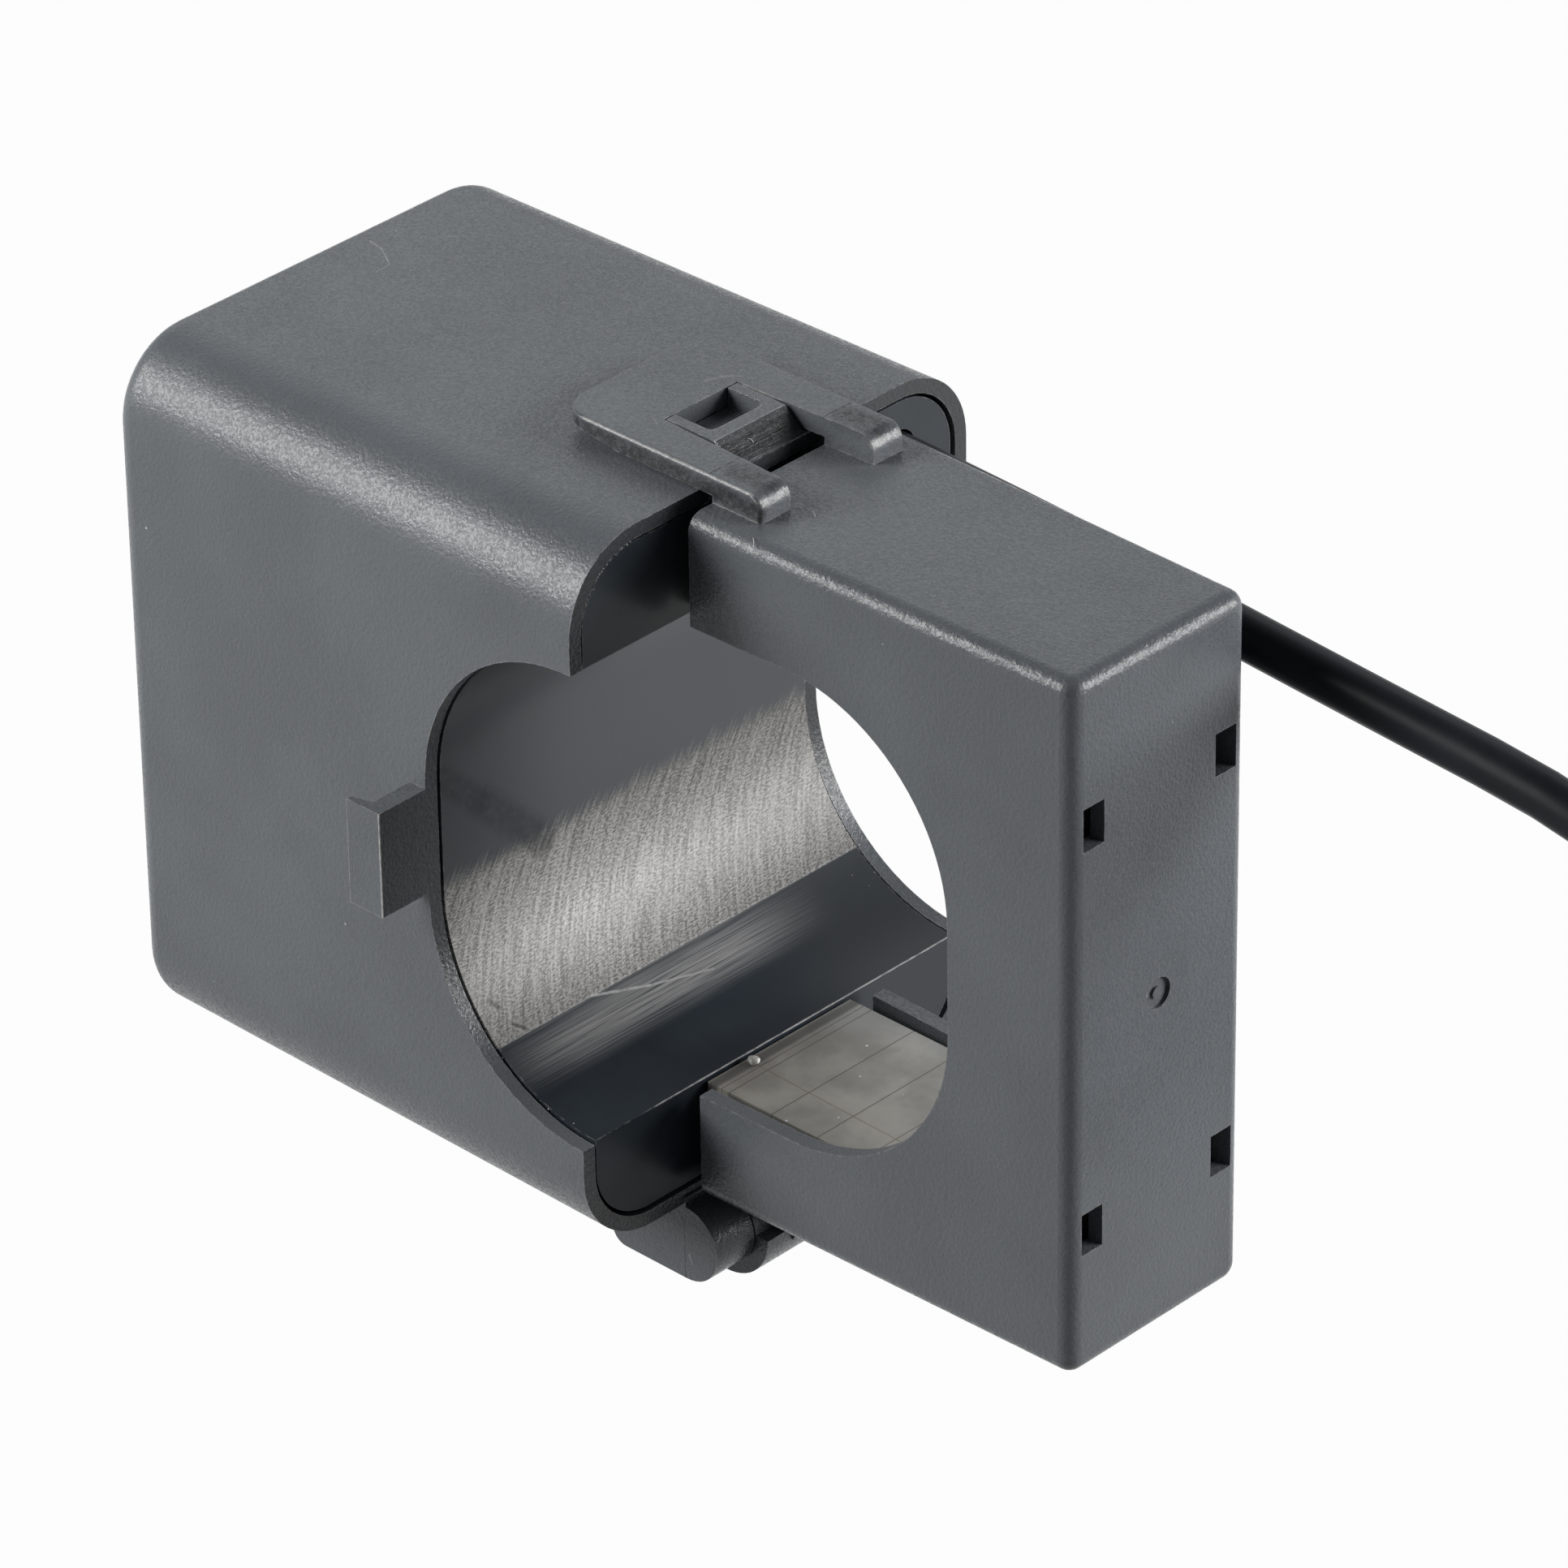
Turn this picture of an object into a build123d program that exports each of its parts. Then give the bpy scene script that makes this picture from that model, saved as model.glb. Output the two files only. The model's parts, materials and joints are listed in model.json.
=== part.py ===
from build123d import *
import math
import os

os.makedirs("parts", exist_ok=True)

# Split-core current transformer. Sizes are in millimetres.
# X points from the deep housing half towards the hinged jaw, with X = 0 at the housing's open rim.
# Y runs along the conductor that passes through the window, and Z points up. The origin lies on the
# rim plane, at mid-height and mid-width.

# Housing half
body_height = 57.0
body_width = 39.7
body_depth = 45.7
body_corner_r = 6.7
body_end_r = 1.7
body_draft_deg = 0.55
body_wall = 1.15

# Conductor window: the housing's part of it, then the jaw's part
window_depth_body = 14.8
window_half_height = 19.3
window_r_body = 14.7
window_reach_jaw = 24.8
window_half_height_jaw = 19.15
window_r_jaw = 14.8

# Inner cover of the housing, with its bore wall and its flat flange
liner_wall = 1.3
liner_recess = 0.2
liner_gap = 0.3
liner_step = 0.15
liner_flange = 1.5

# Jaw half
jaw_start = 1.4
jaw_end = 35.95
jaw_width = 19.1
jaw_width_end = 17.65
jaw_height_less = 1.3
jaw_height_less_end = 1.5
jaw_lift = 0.2
jaw_edge_r = 1.3
jaw_wall = 1.25

# Magnetic core, cut at the rim plane
core_half_width = 7.35
core_outer = 25.9
core_gap = 0.05
core_fit = 0.15
core_corner_r = 3.0
core_end_r = 1.5
body_yoke_share = 0.38462
jaw_core_inner = 19.4
jaw_yoke_inner = 25.2
jaw_yoke_width = 8.0
jaw_core_inner_r = 3.0

# Winding on its split former
former_wall = 1.0
former_gap = 0.2
former_flange = 1.1
former_split = 0.1
winding_liner_gap = 2.55
winding_rear_gap = 2.65
winding_corner_r = 3.0
tape_wall = 0.3
tape_gap = 0.05
flange_reach = 0.6

# Foam pads
pad_gap = 0.05
rear_pad_size = (20.0, 26.0)
front_pad_size = (20.0, 8.0)
jaw_pad_size = (11.0, 24.0)

# Latch frame, moulded with the jaw, and the catch block on the housing
latch_height = 2.1
latch_tip = 13.6
latch_half_width = 7.15
latch_corner_r = 2.8
latch_edge_r = 0.3
latch_float = 0.15
latch_tip_lift = 0.9
latch_taper_run = 6.0
finger_end = 5.9
finger_end_r = 1.2
notch_wall = 6.6
notch_half_width = 3.62
notch_mouth_half_width = 4.2
catch_back = 6.45
catch_front = 1.9
catch_foot = 0.1
catch_half_width = 3.5
pocket_end = 3.0
pocket_half_width = 2.6
pocket_floor = 0.15
pocket_corner_r = 0.6

# Side hooks beside the window
hook_wall = 1.5
hook_reach = 4.4
hook_half_height = 4.25
hook_lip = 1.75
hook_lip_wall = 0.9
hook_lip_tip = 0.45

# Hinge under the two halves
pin_x = 0.2
pin_drop = 3.25
pin_r = 1.0
pin_seat = 0.01
pin_running = 0.06
pin_blind = 1.2
nose_r = 3.05
block_back = 7.2
block_half_width = 10.0
block_edge_r = 1.3
ear_wall = 3.8
knuckle_side_gap = 0.2
knuckle_r = 3.0
lobe_r = 4.2
lobe_gap = 0.35
web_half_width = 3.4
web_reach = 7.6
web_foot = 2.2

# Marks on the jaw's end face
slot_width = 2.1
slot_height = 3.35
slot_y = 6.65
slot_z = 16.2
gate_r = 1.2
gate_depth = 0.3
gate_nub_r = 0.45
gate_nub_height = 0.2

# Output cable. Its points, the coil and the tail are placed in Y from the cable's own line.
cable_d = 3.5
cable_hole_gap = 0.05
cable_start = -8.0
cable_core_gap = 5.65
cable_height = 23.0
cable_route = [
    (14.0, 0.0, 23.0),
    (38.0, 0.0, 20.65),
    (69.5, 0.3, 18.35),
    (93.6, 0.4, 1.7),
    (105.2, 10.6, -8.2),
    (105.3, 27.0, -16.2),
    (94.4, 38.3, -22.2),
    (79.6, 39.0, -25.8),
]
coil_place = (80.6, 18.0)
coil_radius = 19.5
coil_columns = 2
coil_layers = 3
coil_join_deg = 120.0
coil_leave_deg = 88.0
tail_route = [
    (71.5, 39.0),
    (61.0, 37.2),
    (52.0, 37.5),
]
core_wire_d = 1.3
core_wire_straight = 4.0
core_wire_length = 10.0
core_wire_spread = 1.4
tip_d = 0.7
tip_length = 5.0
coil_tie_width = 3.6
coil_tie_wall = 0.9
coil_tie_gap = 0.1

# Inner wiring
lead_d = 1.1
sleeve_d = 1.8
sleeve_length = 7.0
sleeve_gap = 0.1
tie_wall = 0.8
tie_width = 2.4
tie_gap = 0.05
tie_head = (2.6, 3.0)
tie_from_liner = 1.2
lead_feet = {"start": (6.2, -0.95), "finish": (0.2, -0.4)}
lead_straight = 1.8
lead_shoulder = (2.6, 0.6)
lead_rise = 3.2

cable_r = cable_d / 2
top_z = body_height / 2
jaw_height = body_height - jaw_height_less
jaw_height_end = body_height - jaw_height_less_end
jaw_top = jaw_lift + jaw_height / 2
jaw_low = jaw_lift - jaw_height / 2
latch_top = jaw_top + latch_height
pin_z = -top_z - pin_drop
plate_in = body_width / 2 - body_wall
cable_y = core_half_width + cable_core_gap
cable_entry = (cable_start, cable_y, cable_height)
coil_centre = (coil_place[0], cable_y + coil_place[1])
floor_z = pin_z - lobe_r
housing_plane = Plane(origin=(0, 0, 0), x_dir=(0, 1, 0), z_dir=(-1, 0, 0))
XZ_PLANE = Plane(origin=(0, 0, 0), x_dir=(1, 0, 0), z_dir=(0, -1, 0))


def through_y(sketch, half_width):
    """A profile drawn in X and Z, made a prism from -half_width to half_width along Y."""
    return extrude(XZ_PLANE * sketch, amount=half_width, both=True)


def slab(x0, x1, y0, y1, z0, z1):
    """A plain block between two corners."""
    size = (x1 - x0, y1 - y0, z1 - z0)
    return Pos((x0 + x1) / 2, (y0 + y1) / 2, (z0 + z1) / 2) * Box(*size)


def y_rod(x, z, radius, y0, y1):
    """A round rod along Y."""
    turned = Pos(x, (y0 + y1) / 2, z) * Rot(90, 0, 0)
    return turned * Cylinder(radius, y1 - y0)


def rounded_tube(outer, draft_deg, plane, size, corner_r, end_r):
    """A drafted block with rounded long edges and a rounded closed end."""
    block = extrude(plane * RectangleRounded(size[0], size[1], corner_r), amount=outer, taper=draft_deg)
    ends = block.faces().sort_by(Axis.X)
    far = ends[0] if plane.z_dir.X < 0 else ends[-1]
    return fillet(far.edges(), end_r)


def window_profile(reach, half_height, radius):
    """The window's outline on one side of the rim plane, mirrored across that plane."""
    return RectangleRounded(2 * reach, 2 * half_height, radius)


def box_ring(outer, inner, z_half):
    """A rounded rectangular ring about the housing's yoke, in plan, with its height."""
    return extrude(Pos(0, 0, -z_half) * (outer - inner), amount=2 * z_half)


def swept_route(points, radius, radii):
    """A round cord along straight runs joined by tangent arcs."""
    path = FilletPolyline(*points, radius=radii) if radii else Polyline(*points)
    start = Plane(origin=path @ 0, z_dir=path % 0)
    return sweep(start * Circle(radius), path=path), path.length


def corner_radii(points):
    """The arc radius at each inner point: 0.45 of the shorter run over the tangent of half the turn."""
    radii = []
    for before, here, after in zip(points, points[1:], points[2:]):
        run_in = Vector(*here) - Vector(*before)
        run_out = Vector(*after) - Vector(*here)
        half_turn = math.radians(run_in.get_angle(run_out)) / 2
        radii.append(0.45 * min(run_in.length, run_out.length) / math.tan(half_turn))
    return radii


# Housing shell

def hinge_block():
    """The hinge block under the housing: two ears with round noses and a pocket between them."""
    base = -top_z + body_wall / 2
    low = pin_z - nose_r
    side = Pos((pin_x - block_back) / 2, (base + low) / 2) * Rectangle(pin_x + block_back, base - low)
    corner = side.vertices().sort_by_distance((-block_back, low, 0))[0]
    side = fillet(corner, block_edge_r)
    nose = Pos(pin_x, pin_z) * Circle(nose_r)
    block = through_y(side + nose, block_half_width)
    pocket_back = pin_x - lobe_r - lobe_gap
    half = block_half_width - ear_wall
    low_pocket = low - 1
    pocket = slab(pocket_back, pin_x + nose_r + 1, -half, half, low_pocket, -top_z)
    return block - pocket


def pin_holes():
    """The pin's seat: blind in the front ear, open at the back ear's outer face."""
    front = -block_half_width + pin_blind
    return y_rod(pin_x, pin_z, pin_r + pin_seat, front, block_half_width + 1)


def side_hook(side):
    """An L-shaped hook on one side plate, level with the window's deepest edge."""
    face = body_width / 2
    root = face - body_wall / 2
    tip = face + hook_reach
    x_in, x_out = -window_depth_body, -window_depth_body - hook_wall
    x_tip = x_out - hook_lip
    outline = Polyline(
        (x_in, side * root),
        (x_in, side * tip),
        (x_tip, side * tip),
        (x_tip, side * (tip - hook_lip_tip)),
        (x_out, side * (tip - hook_lip_wall)),
        (x_out, side * root),
        close=True,
    )
    profile = Pos(0, 0, -hook_half_height) * make_face(outline)
    return extrude(profile, amount=2 * hook_half_height, dir=(0, 0, 1))


def catch_block():
    """The catch that the latch frame snaps over: a ramp towards the jaw and a pocket behind it."""
    root = top_z - body_wall / 2
    profile = make_face(
        Polyline(
            (-catch_back, root),
            (-catch_back, latch_top),
            (-catch_front, latch_top),
            (-catch_foot, top_z),
            (-catch_foot, root),
            close=True,
        )
    )
    block = through_y(profile, catch_half_width)
    floor = top_z + pocket_floor
    pocket = slab(-catch_back - 1, -pocket_end, -pocket_half_width, pocket_half_width, floor, latch_top + 1)
    inner = pocket.edges().filter_by(Axis.Z).group_by(Axis.X)[-1]
    return block - fillet(inner, pocket_corner_r)


def make_body_shell():
    outer = rounded_tube(
        body_depth, body_draft_deg, housing_plane, (body_width, body_height), body_corner_r, body_end_r
    )
    inside = (body_width - 2 * body_wall, body_height - 2 * body_wall)
    depth = body_depth - body_wall
    corner = body_corner_r - body_wall
    inner = rounded_tube(depth, body_draft_deg, housing_plane, inside, corner, body_end_r / 2)
    window = through_y(window_profile(window_depth_body, window_half_height, window_r_body), body_width)
    shell = outer - inner - window
    shell += hinge_block()
    shell += catch_block()
    for side in (-1, 1):
        shell += side_hook(side)
    return shell - pin_holes()


def make_body_liner():
    """The cover that closes the housing: a bore wall round the window and a flange on the rim plane."""
    half = plate_in - liner_gap
    bore_reach = window_depth_body - liner_step
    bore_half = window_half_height - liner_step
    bore_r = window_r_body - liner_step
    bore = through_y(window_profile(bore_reach, bore_half, bore_r), half + 1)
    wall = through_y(
        window_profile(bore_reach + liner_wall, bore_half + liner_wall, bore_r + liner_wall), half
    )
    wall = wall & slab(-body_depth, -liner_recess, -half, half, -top_z, top_z)
    width = 2 * half
    height = body_height - 2 * body_wall - 2 * liner_gap
    corner = body_corner_r - body_wall - liner_gap
    flange_face = Plane(origin=(-liner_recess, 0, 0), x_dir=(0, 1, 0), z_dir=(-1, 0, 0))
    flange = extrude(flange_face * RectangleRounded(width, height, corner), amount=liner_flange)
    liner = wall + flange - bore
    pole_half = core_half_width + core_fit
    body_inner = bore_half + liner_wall
    for side in (-1, 1):
        low, high = sorted((side * body_inner, side * (core_outer + core_fit)))
        liner -= slab(-liner_recess - liner_flange - 1, 1, -pole_half, pole_half, low, high)
    hole = Pos(0, cable_entry[1], cable_exit_z) * Rot(0, 90, 0)
    return liner - hole * Cylinder(cable_r + cable_hole_gap, 4 * liner_flange)


def core_half(start, inner, outer_x, yoke_width, inner_r):
    """A U-shaped core half in X and Z, open towards the rim plane."""
    sign = 1 if outer_x > start else -1
    length = abs(outer_x - start)
    outer_box = Pos((start + outer_x) / 2, 0) * Rectangle(length, 2 * core_outer)
    back = outer_box.vertices().group_by(Axis.X)[-1 if sign > 0 else 0]
    outer_box = fillet(back, core_corner_r)
    slot_length = length - yoke_width
    slot_end = start + sign * slot_length
    slot = Pos((start + slot_end) / 2, 0) * Rectangle(slot_length, 2 * inner)
    slot_back = slot.vertices().group_by(Axis.X)[-1 if sign > 0 else 0]
    slot = fillet(slot_back, inner_r)
    return through_y(outer_box - slot, core_half_width)


body_core_inner = window_half_height - liner_step + liner_wall + core_fit
bore_back = -(window_depth_body - liner_step + liner_wall)
end_wall = -body_depth + body_wall
winding_room = bore_back - winding_liner_gap - end_wall - winding_rear_gap
former_build = former_gap + former_wall
body_yoke_width = winding_room * body_yoke_share
winding_build = (winding_room - body_yoke_width) / 2 - former_build
body_yoke_outer = -end_wall - winding_rear_gap - winding_build - former_build
yoke_in = -(body_yoke_outer - body_yoke_width)
yoke_mid_x = (-body_yoke_outer + yoke_in) / 2
former_half_x = body_yoke_width / 2 + former_build
former_half_y = core_half_width + former_build
former_half_z = body_core_inner - core_end_r - former_gap
winding_out = winding_build - 2 * flange_reach


def yoke_rectangle(grow, corner):
    """A rounded rectangle about the yoke, larger than the former's tube by grow on each side."""
    size = (2 * (former_half_x + grow), 2 * (former_half_y + grow))
    return Pos(yoke_mid_x, 0) * RectangleRounded(size[0], size[1], corner)


def make_former_half(side):
    """One half of the split former: half of its tube and half of each end flange."""
    hole_size = (body_yoke_width + 2 * former_gap, 2 * (core_half_width + former_gap))
    hole = Pos(yoke_mid_x, 0) * Rectangle(*hole_size)
    tube = box_ring(yoke_rectangle(0, former_wall), hole, former_half_z)
    grow = winding_build - flange_reach
    for z0 in (-former_half_z, former_half_z - former_flange):
        plate = yoke_rectangle(grow, winding_corner_r) - hole
        tube += extrude(Pos(0, 0, z0) * plate, amount=former_flange)
    far = body_depth
    keep = slab(-far, 0, *sorted((side * former_split / 2, side * far)), -far, far)
    return tube & keep


def winding_ring(grow_in, grow_out):
    """A ring of the winding's height between two sizes round the former's tube."""
    half = former_half_z - former_flange - former_split
    outer = yoke_rectangle(grow_out, former_wall + grow_out)
    inner = yoke_rectangle(grow_in, former_wall + grow_in)
    return box_ring(outer, inner, half)


def make_pad(x0, x1, size, edge_r=0.6):
    """A foam pad between two X planes."""
    block = slab(x0, x1, -size[0] / 2, size[0] / 2, -size[1] / 2, size[1] / 2)
    return fillet(block.edges().filter_by(Axis.X), edge_r)


# Jaw shell and core

def latch_frame():
    """The spring frame on the jaw's top: a pull tab, two fingers and the notch that takes the catch."""
    low = jaw_top - jaw_wall / 2
    plan = Pos((finger_end - latch_tip) / 2, 0) * Rectangle(finger_end + latch_tip, 2 * latch_half_width)
    tab_corners = plan.vertices().group_by(Axis.X)[0]
    plan = fillet(tab_corners, latch_corner_r)
    notch = make_face(
        Polyline(
            (-notch_wall, -notch_half_width),
            (finger_end + 1, -notch_mouth_half_width),
            (finger_end + 1, notch_mouth_half_width),
            (-notch_wall, notch_half_width),
            close=True,
        )
    )
    frame = extrude(Pos(0, 0, low) * (plan - notch), amount=latch_top - low)
    top_edges = frame.edges().group_by(Axis.Z)[-1]
    ends = top_edges.filter_by(Axis.Y).group_by(Axis.X)[-1]
    frame = fillet(ends, finger_end_r)
    rim = frame.edges().filter_by_position(Axis.Z, latch_top - 0.01, latch_top + 0.01)
    outer_rim = rim.filter_by(lambda e: abs(abs(e.center().Y) - latch_half_width) < latch_corner_r
                              and e.center().X < finger_end - finger_end_r)
    frame = fillet(outer_rim, latch_edge_r)
    tip = -latch_tip - 1
    underside = make_face(
        Polyline(
            (tip, low - 1),
            (tip, top_z + latch_float + latch_tip_lift),
            (-latch_tip + latch_taper_run, top_z + latch_float),
            (jaw_start, top_z + latch_float),
            (jaw_start, low - 1),
            close=True,
        )
    )
    return frame - through_y(underside, 2 * latch_half_width)


def jaw_block(inset, end, corner_r, end_r):
    """The jaw's tapered block, or the cavity that lies inset within it."""
    sections = []
    for x, width, height in ((jaw_start, jaw_width, jaw_height), (jaw_end, jaw_width_end, jaw_height_end)):
        plane = Plane(origin=(x, 0, jaw_lift), x_dir=(0, 1, 0), z_dir=(1, 0, 0))
        sections.append(plane * RectangleRounded(width - 2 * inset, height - 2 * inset, corner_r))
    block = loft(sections, ruled=True)
    block = block & slab(jaw_start, end, -jaw_width, jaw_width, -jaw_height, jaw_height)
    return fillet(block.faces().sort_by(Axis.X)[-1].edges(), end_r)


def make_jaw_shell():
    outer = jaw_block(0, jaw_end, jaw_edge_r, jaw_edge_r - 0.1)
    inner = jaw_block(jaw_wall, jaw_end - jaw_wall, 0.4, 0.4)
    window = window_profile(window_reach_jaw, window_half_height_jaw, window_r_jaw)
    shell = outer - inner - through_y(Pos(0, jaw_lift) * window, jaw_width)
    for y in (-slot_y, slot_y):
        for z in (-slot_z, slot_z):
            shell -= Pos(jaw_end, y, z + jaw_lift / 2) * Box(4 * jaw_wall, slot_width, slot_height)
    shell -= Pos(jaw_end, 0, 0) * Rot(0, 90, 0) * Cylinder(gate_r, 2 * gate_depth)
    nub_place = Pos(jaw_end - gate_depth, 0, 0) * Rot(0, 90, 0)
    shell += nub_place * Cylinder(gate_nub_r, 2 * gate_nub_height)
    shell += latch_frame()
    shell += knuckle()
    bore = y_rod(pin_x, pin_z, pin_r + pin_running, -block_half_width, block_half_width)
    return shell - bore


def knuckle():
    """The jaw's hinge barrel between the ears, with the web that carries it under the jaw."""
    half = block_half_width - ear_wall - knuckle_side_gap
    barrel = Circle(knuckle_r) + (Circle(lobe_r) & Pos(lobe_r, -lobe_r) * Rectangle(2 * lobe_r, 2 * lobe_r))
    barrel = through_y(Pos(pin_x, pin_z) * barrel, half)
    foot = jaw_low + jaw_wall / 2
    web = make_face(
        Polyline(
            (jaw_start, foot),
            (web_reach, foot),
            (web_reach, jaw_low),
            (pin_x + lobe_r, pin_z - web_foot / 2),
            (pin_x, pin_z),
            (jaw_start, jaw_low),
            close=True,
        )
    )
    return barrel + through_y(web, web_half_width)


def make_jaw_core():
    outer = jaw_yoke_inner + jaw_yoke_width
    return core_half(core_gap, jaw_core_inner, outer, jaw_yoke_width, jaw_core_inner_r)


# Cable, coil and wiring

def coil_point(angle_deg, radius=coil_radius):
    angle = math.radians(angle_deg)
    return (coil_centre[0] + radius * math.cos(angle), coil_centre[1] + radius * math.sin(angle))


cable_exit_z = cable_entry[2]
coil_top_z = floor_z + coil_layers * cable_d
join_z = coil_top_z - cable_r
tail_z = floor_z + cable_r


def cable_points():
    """The cable's route from inside the housing to where it joins the coil's top layer."""
    route = [(x, cable_y + y, z) for x, y, z in cable_route]
    return [cable_entry, *route, (*coil_point(coil_join_deg), join_z)]


def tail_points():
    leave = coil_point(coil_leave_deg)
    return [(*leave, tail_z)] + [(x, cable_y + y, tail_z) for x, y in tail_route]


def make_coil():
    """The put-away length: a neat round coil, as one solid of its outer shape."""
    half = coil_columns * cable_r
    height = coil_layers * cable_d
    section = Pos(coil_radius, height / 2) * RectangleRounded(2 * half, height, cable_r - 0.1)
    ring = revolve(Plane.XZ * section, axis=Axis.Z)
    return Pos(coil_centre[0], coil_centre[1], floor_z) * ring


def make_coil_tie():
    """The twist tie round the coil, on its far side."""
    half = coil_columns * cable_r + coil_tie_gap
    height = coil_layers * cable_d
    outer = RectangleRounded(2 * (half + coil_tie_wall), height + coil_tie_gap + coil_tie_wall, cable_r)
    inner = RectangleRounded(2 * half, height + coil_tie_gap, cable_r - 0.1)
    band = Pos(0, (height + coil_tie_gap + coil_tie_wall) / 2) * outer
    hole = Pos(0, (height + coil_tie_gap) / 2) * inner
    strap = extrude(XZ_PLANE * (band - hole), amount=coil_tie_width / 2, both=True)
    place = Pos(coil_centre[0] + coil_radius, coil_centre[1], floor_z)
    return place * strap


def make_core_wire(side):
    """One insulated core and its tinned tip, past the end of the cable's jacket."""
    end = Vector(*tail_points()[-1])
    ahead = (end - Vector(*tail_points()[-2])).normalized()
    across = Vector(-ahead.Y, ahead.X, 0) * side
    start_off = core_wire_d / 2 + 0.02
    straight = end + across * start_off
    points = [
        straight,
        straight + ahead * core_wire_straight,
        straight + ahead * core_wire_length + across * core_wire_spread,
    ]
    wire, _ = swept_route(points, core_wire_d / 2, corner_radii(points))
    outward = (points[2] - points[1]).normalized()
    tip = extrude(Plane(origin=points[2], z_dir=outward) * Circle(tip_d / 2), amount=tip_length)
    return wire, tip


def make_lead(name, side):
    """One lead of the winding, from its sleeve to the former's top flange."""
    y = cable_entry[1] + side * (sleeve_d + sleeve_gap) / 2
    start = (cable_entry[0] - sleeve_length, y, cable_entry[2])
    foot_x = yoke_mid_x + lead_feet[name][0]
    foot_y = cable_y + lead_feet[name][1]
    shoulder = (foot_x + lead_shoulder[0], foot_y, cable_entry[2] - lead_shoulder[1])
    points = [
        start,
        (start[0] - lead_straight, y, cable_entry[2]),
        shoulder,
        (foot_x, foot_y, former_half_z + lead_rise),
        (foot_x, foot_y, former_half_z),
    ]
    lead, _ = swept_route(points, lead_d / 2, corner_radii(points))
    return lead


def make_sleeve(side):
    """A shrink sleeve over the joint of a lead and a core of the cable."""
    x, y, z = cable_entry
    centre = Pos(x - sleeve_length / 2, y + side * (sleeve_d + sleeve_gap) / 2, z)
    return centre * Rot(0, 90, 0) * Cylinder(sleeve_d / 2, sleeve_length)


def make_strain_tie():
    """The tie round the cable behind the flange, which keeps the cable from being pulled out."""
    x = -liner_recess - liner_flange - tie_from_liner - tie_width / 2
    y, z = cable_entry[1], cable_entry[2]
    band = Circle(cable_r + tie_gap + tie_wall) - Circle(cable_r + tie_gap)
    head_y = -(cable_r + tie_gap + tie_head[0] / 2)
    band += Pos(head_y - tie_wall / 4, 0) * RectangleRounded(tie_head[0], tie_head[1], 0.4)
    band -= Circle(cable_r + tie_gap)
    place = Plane(origin=(x, y, z), x_dir=(0, 1, 0), z_dir=(1, 0, 0))
    return extrude(place * band, amount=tie_width / 2, both=True)


def write(node, shape):
    shape.label = node
    export_step(shape, f"parts/{node}.step")


def write_cord(node, points, radius):
    """Write a cord's tube, and print its radii and how its volume compares with its section and length."""
    radii = corner_radii(points)
    tube, length = swept_route(points, radius, radii)
    share = tube.volume / (math.pi * radius**2 * length)
    print(node, "radii", [round(r, 1) for r in radii])
    print(node, "length", round(length, 1), "volume share", round(share, 4))
    write(node, tube)
    return length


def build_housing():
    write("body_shell", make_body_shell())
    write("body_liner", make_body_liner())
    write("body_core", core_half(-core_gap, body_core_inner, -body_yoke_outer, body_yoke_width, core_end_r))
    write("former_front", make_former_half(-1))
    write("former_back", make_former_half(1))
    write("secondary_winding", winding_ring(tape_gap, winding_out))
    write("winding_tape", winding_ring(winding_out + tape_gap, winding_out + tape_gap + tape_wall))
    tape_out = former_half_x + winding_out + tape_gap + tape_wall
    write("rear_pad", make_pad(end_wall + pad_gap, yoke_mid_x - tape_out - pad_gap, rear_pad_size))
    write("front_pad", make_pad(yoke_mid_x + tape_out + pad_gap, bore_back - pad_gap, front_pad_size))
    for name, side in (("start", -1), ("finish", 1)):
        write(f"lead_{name}", make_lead(name, side))
        write(f"sleeve_{name}", make_sleeve(side))
    write("strain_tie", make_strain_tie())
    write("hinge_pin", y_rod(pin_x, pin_z, pin_r, -block_half_width + pin_blind, block_half_width))


def build_jaw():
    write("jaw_shell", make_jaw_shell())
    write("jaw_core", make_jaw_core())
    core_back = jaw_yoke_inner + jaw_yoke_width
    write("jaw_pad", make_pad(core_back + pad_gap, jaw_end - jaw_wall - pad_gap, jaw_pad_size))


def build_cable():
    length = write_cord("output_cable", cable_points(), cable_r)
    length += write_cord("cable_tail", tail_points(), cable_r)
    write("cable_coil", make_coil())
    write("coil_tie", make_coil_tie())
    for name, side in (("dark", -1), ("light", 1)):
        wire, tip = make_core_wire(side)
        write(f"core_wire_{name}", wire)
        write(f"wire_tip_{name}", tip)
    turns = coil_columns * coil_layers
    length += turns * 2 * math.pi * coil_radius
    print("cable length in all", round(length))


build_housing()
build_jaw()
build_cable()
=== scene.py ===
# %% [markdown]
# A split-core current transformer, dressed for its photograph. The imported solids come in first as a
# fixed frame: they are already where they belong, so every step below only gives them a finish or
# lays a finer piece over them. Nothing that comes from the frame is moved.

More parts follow.
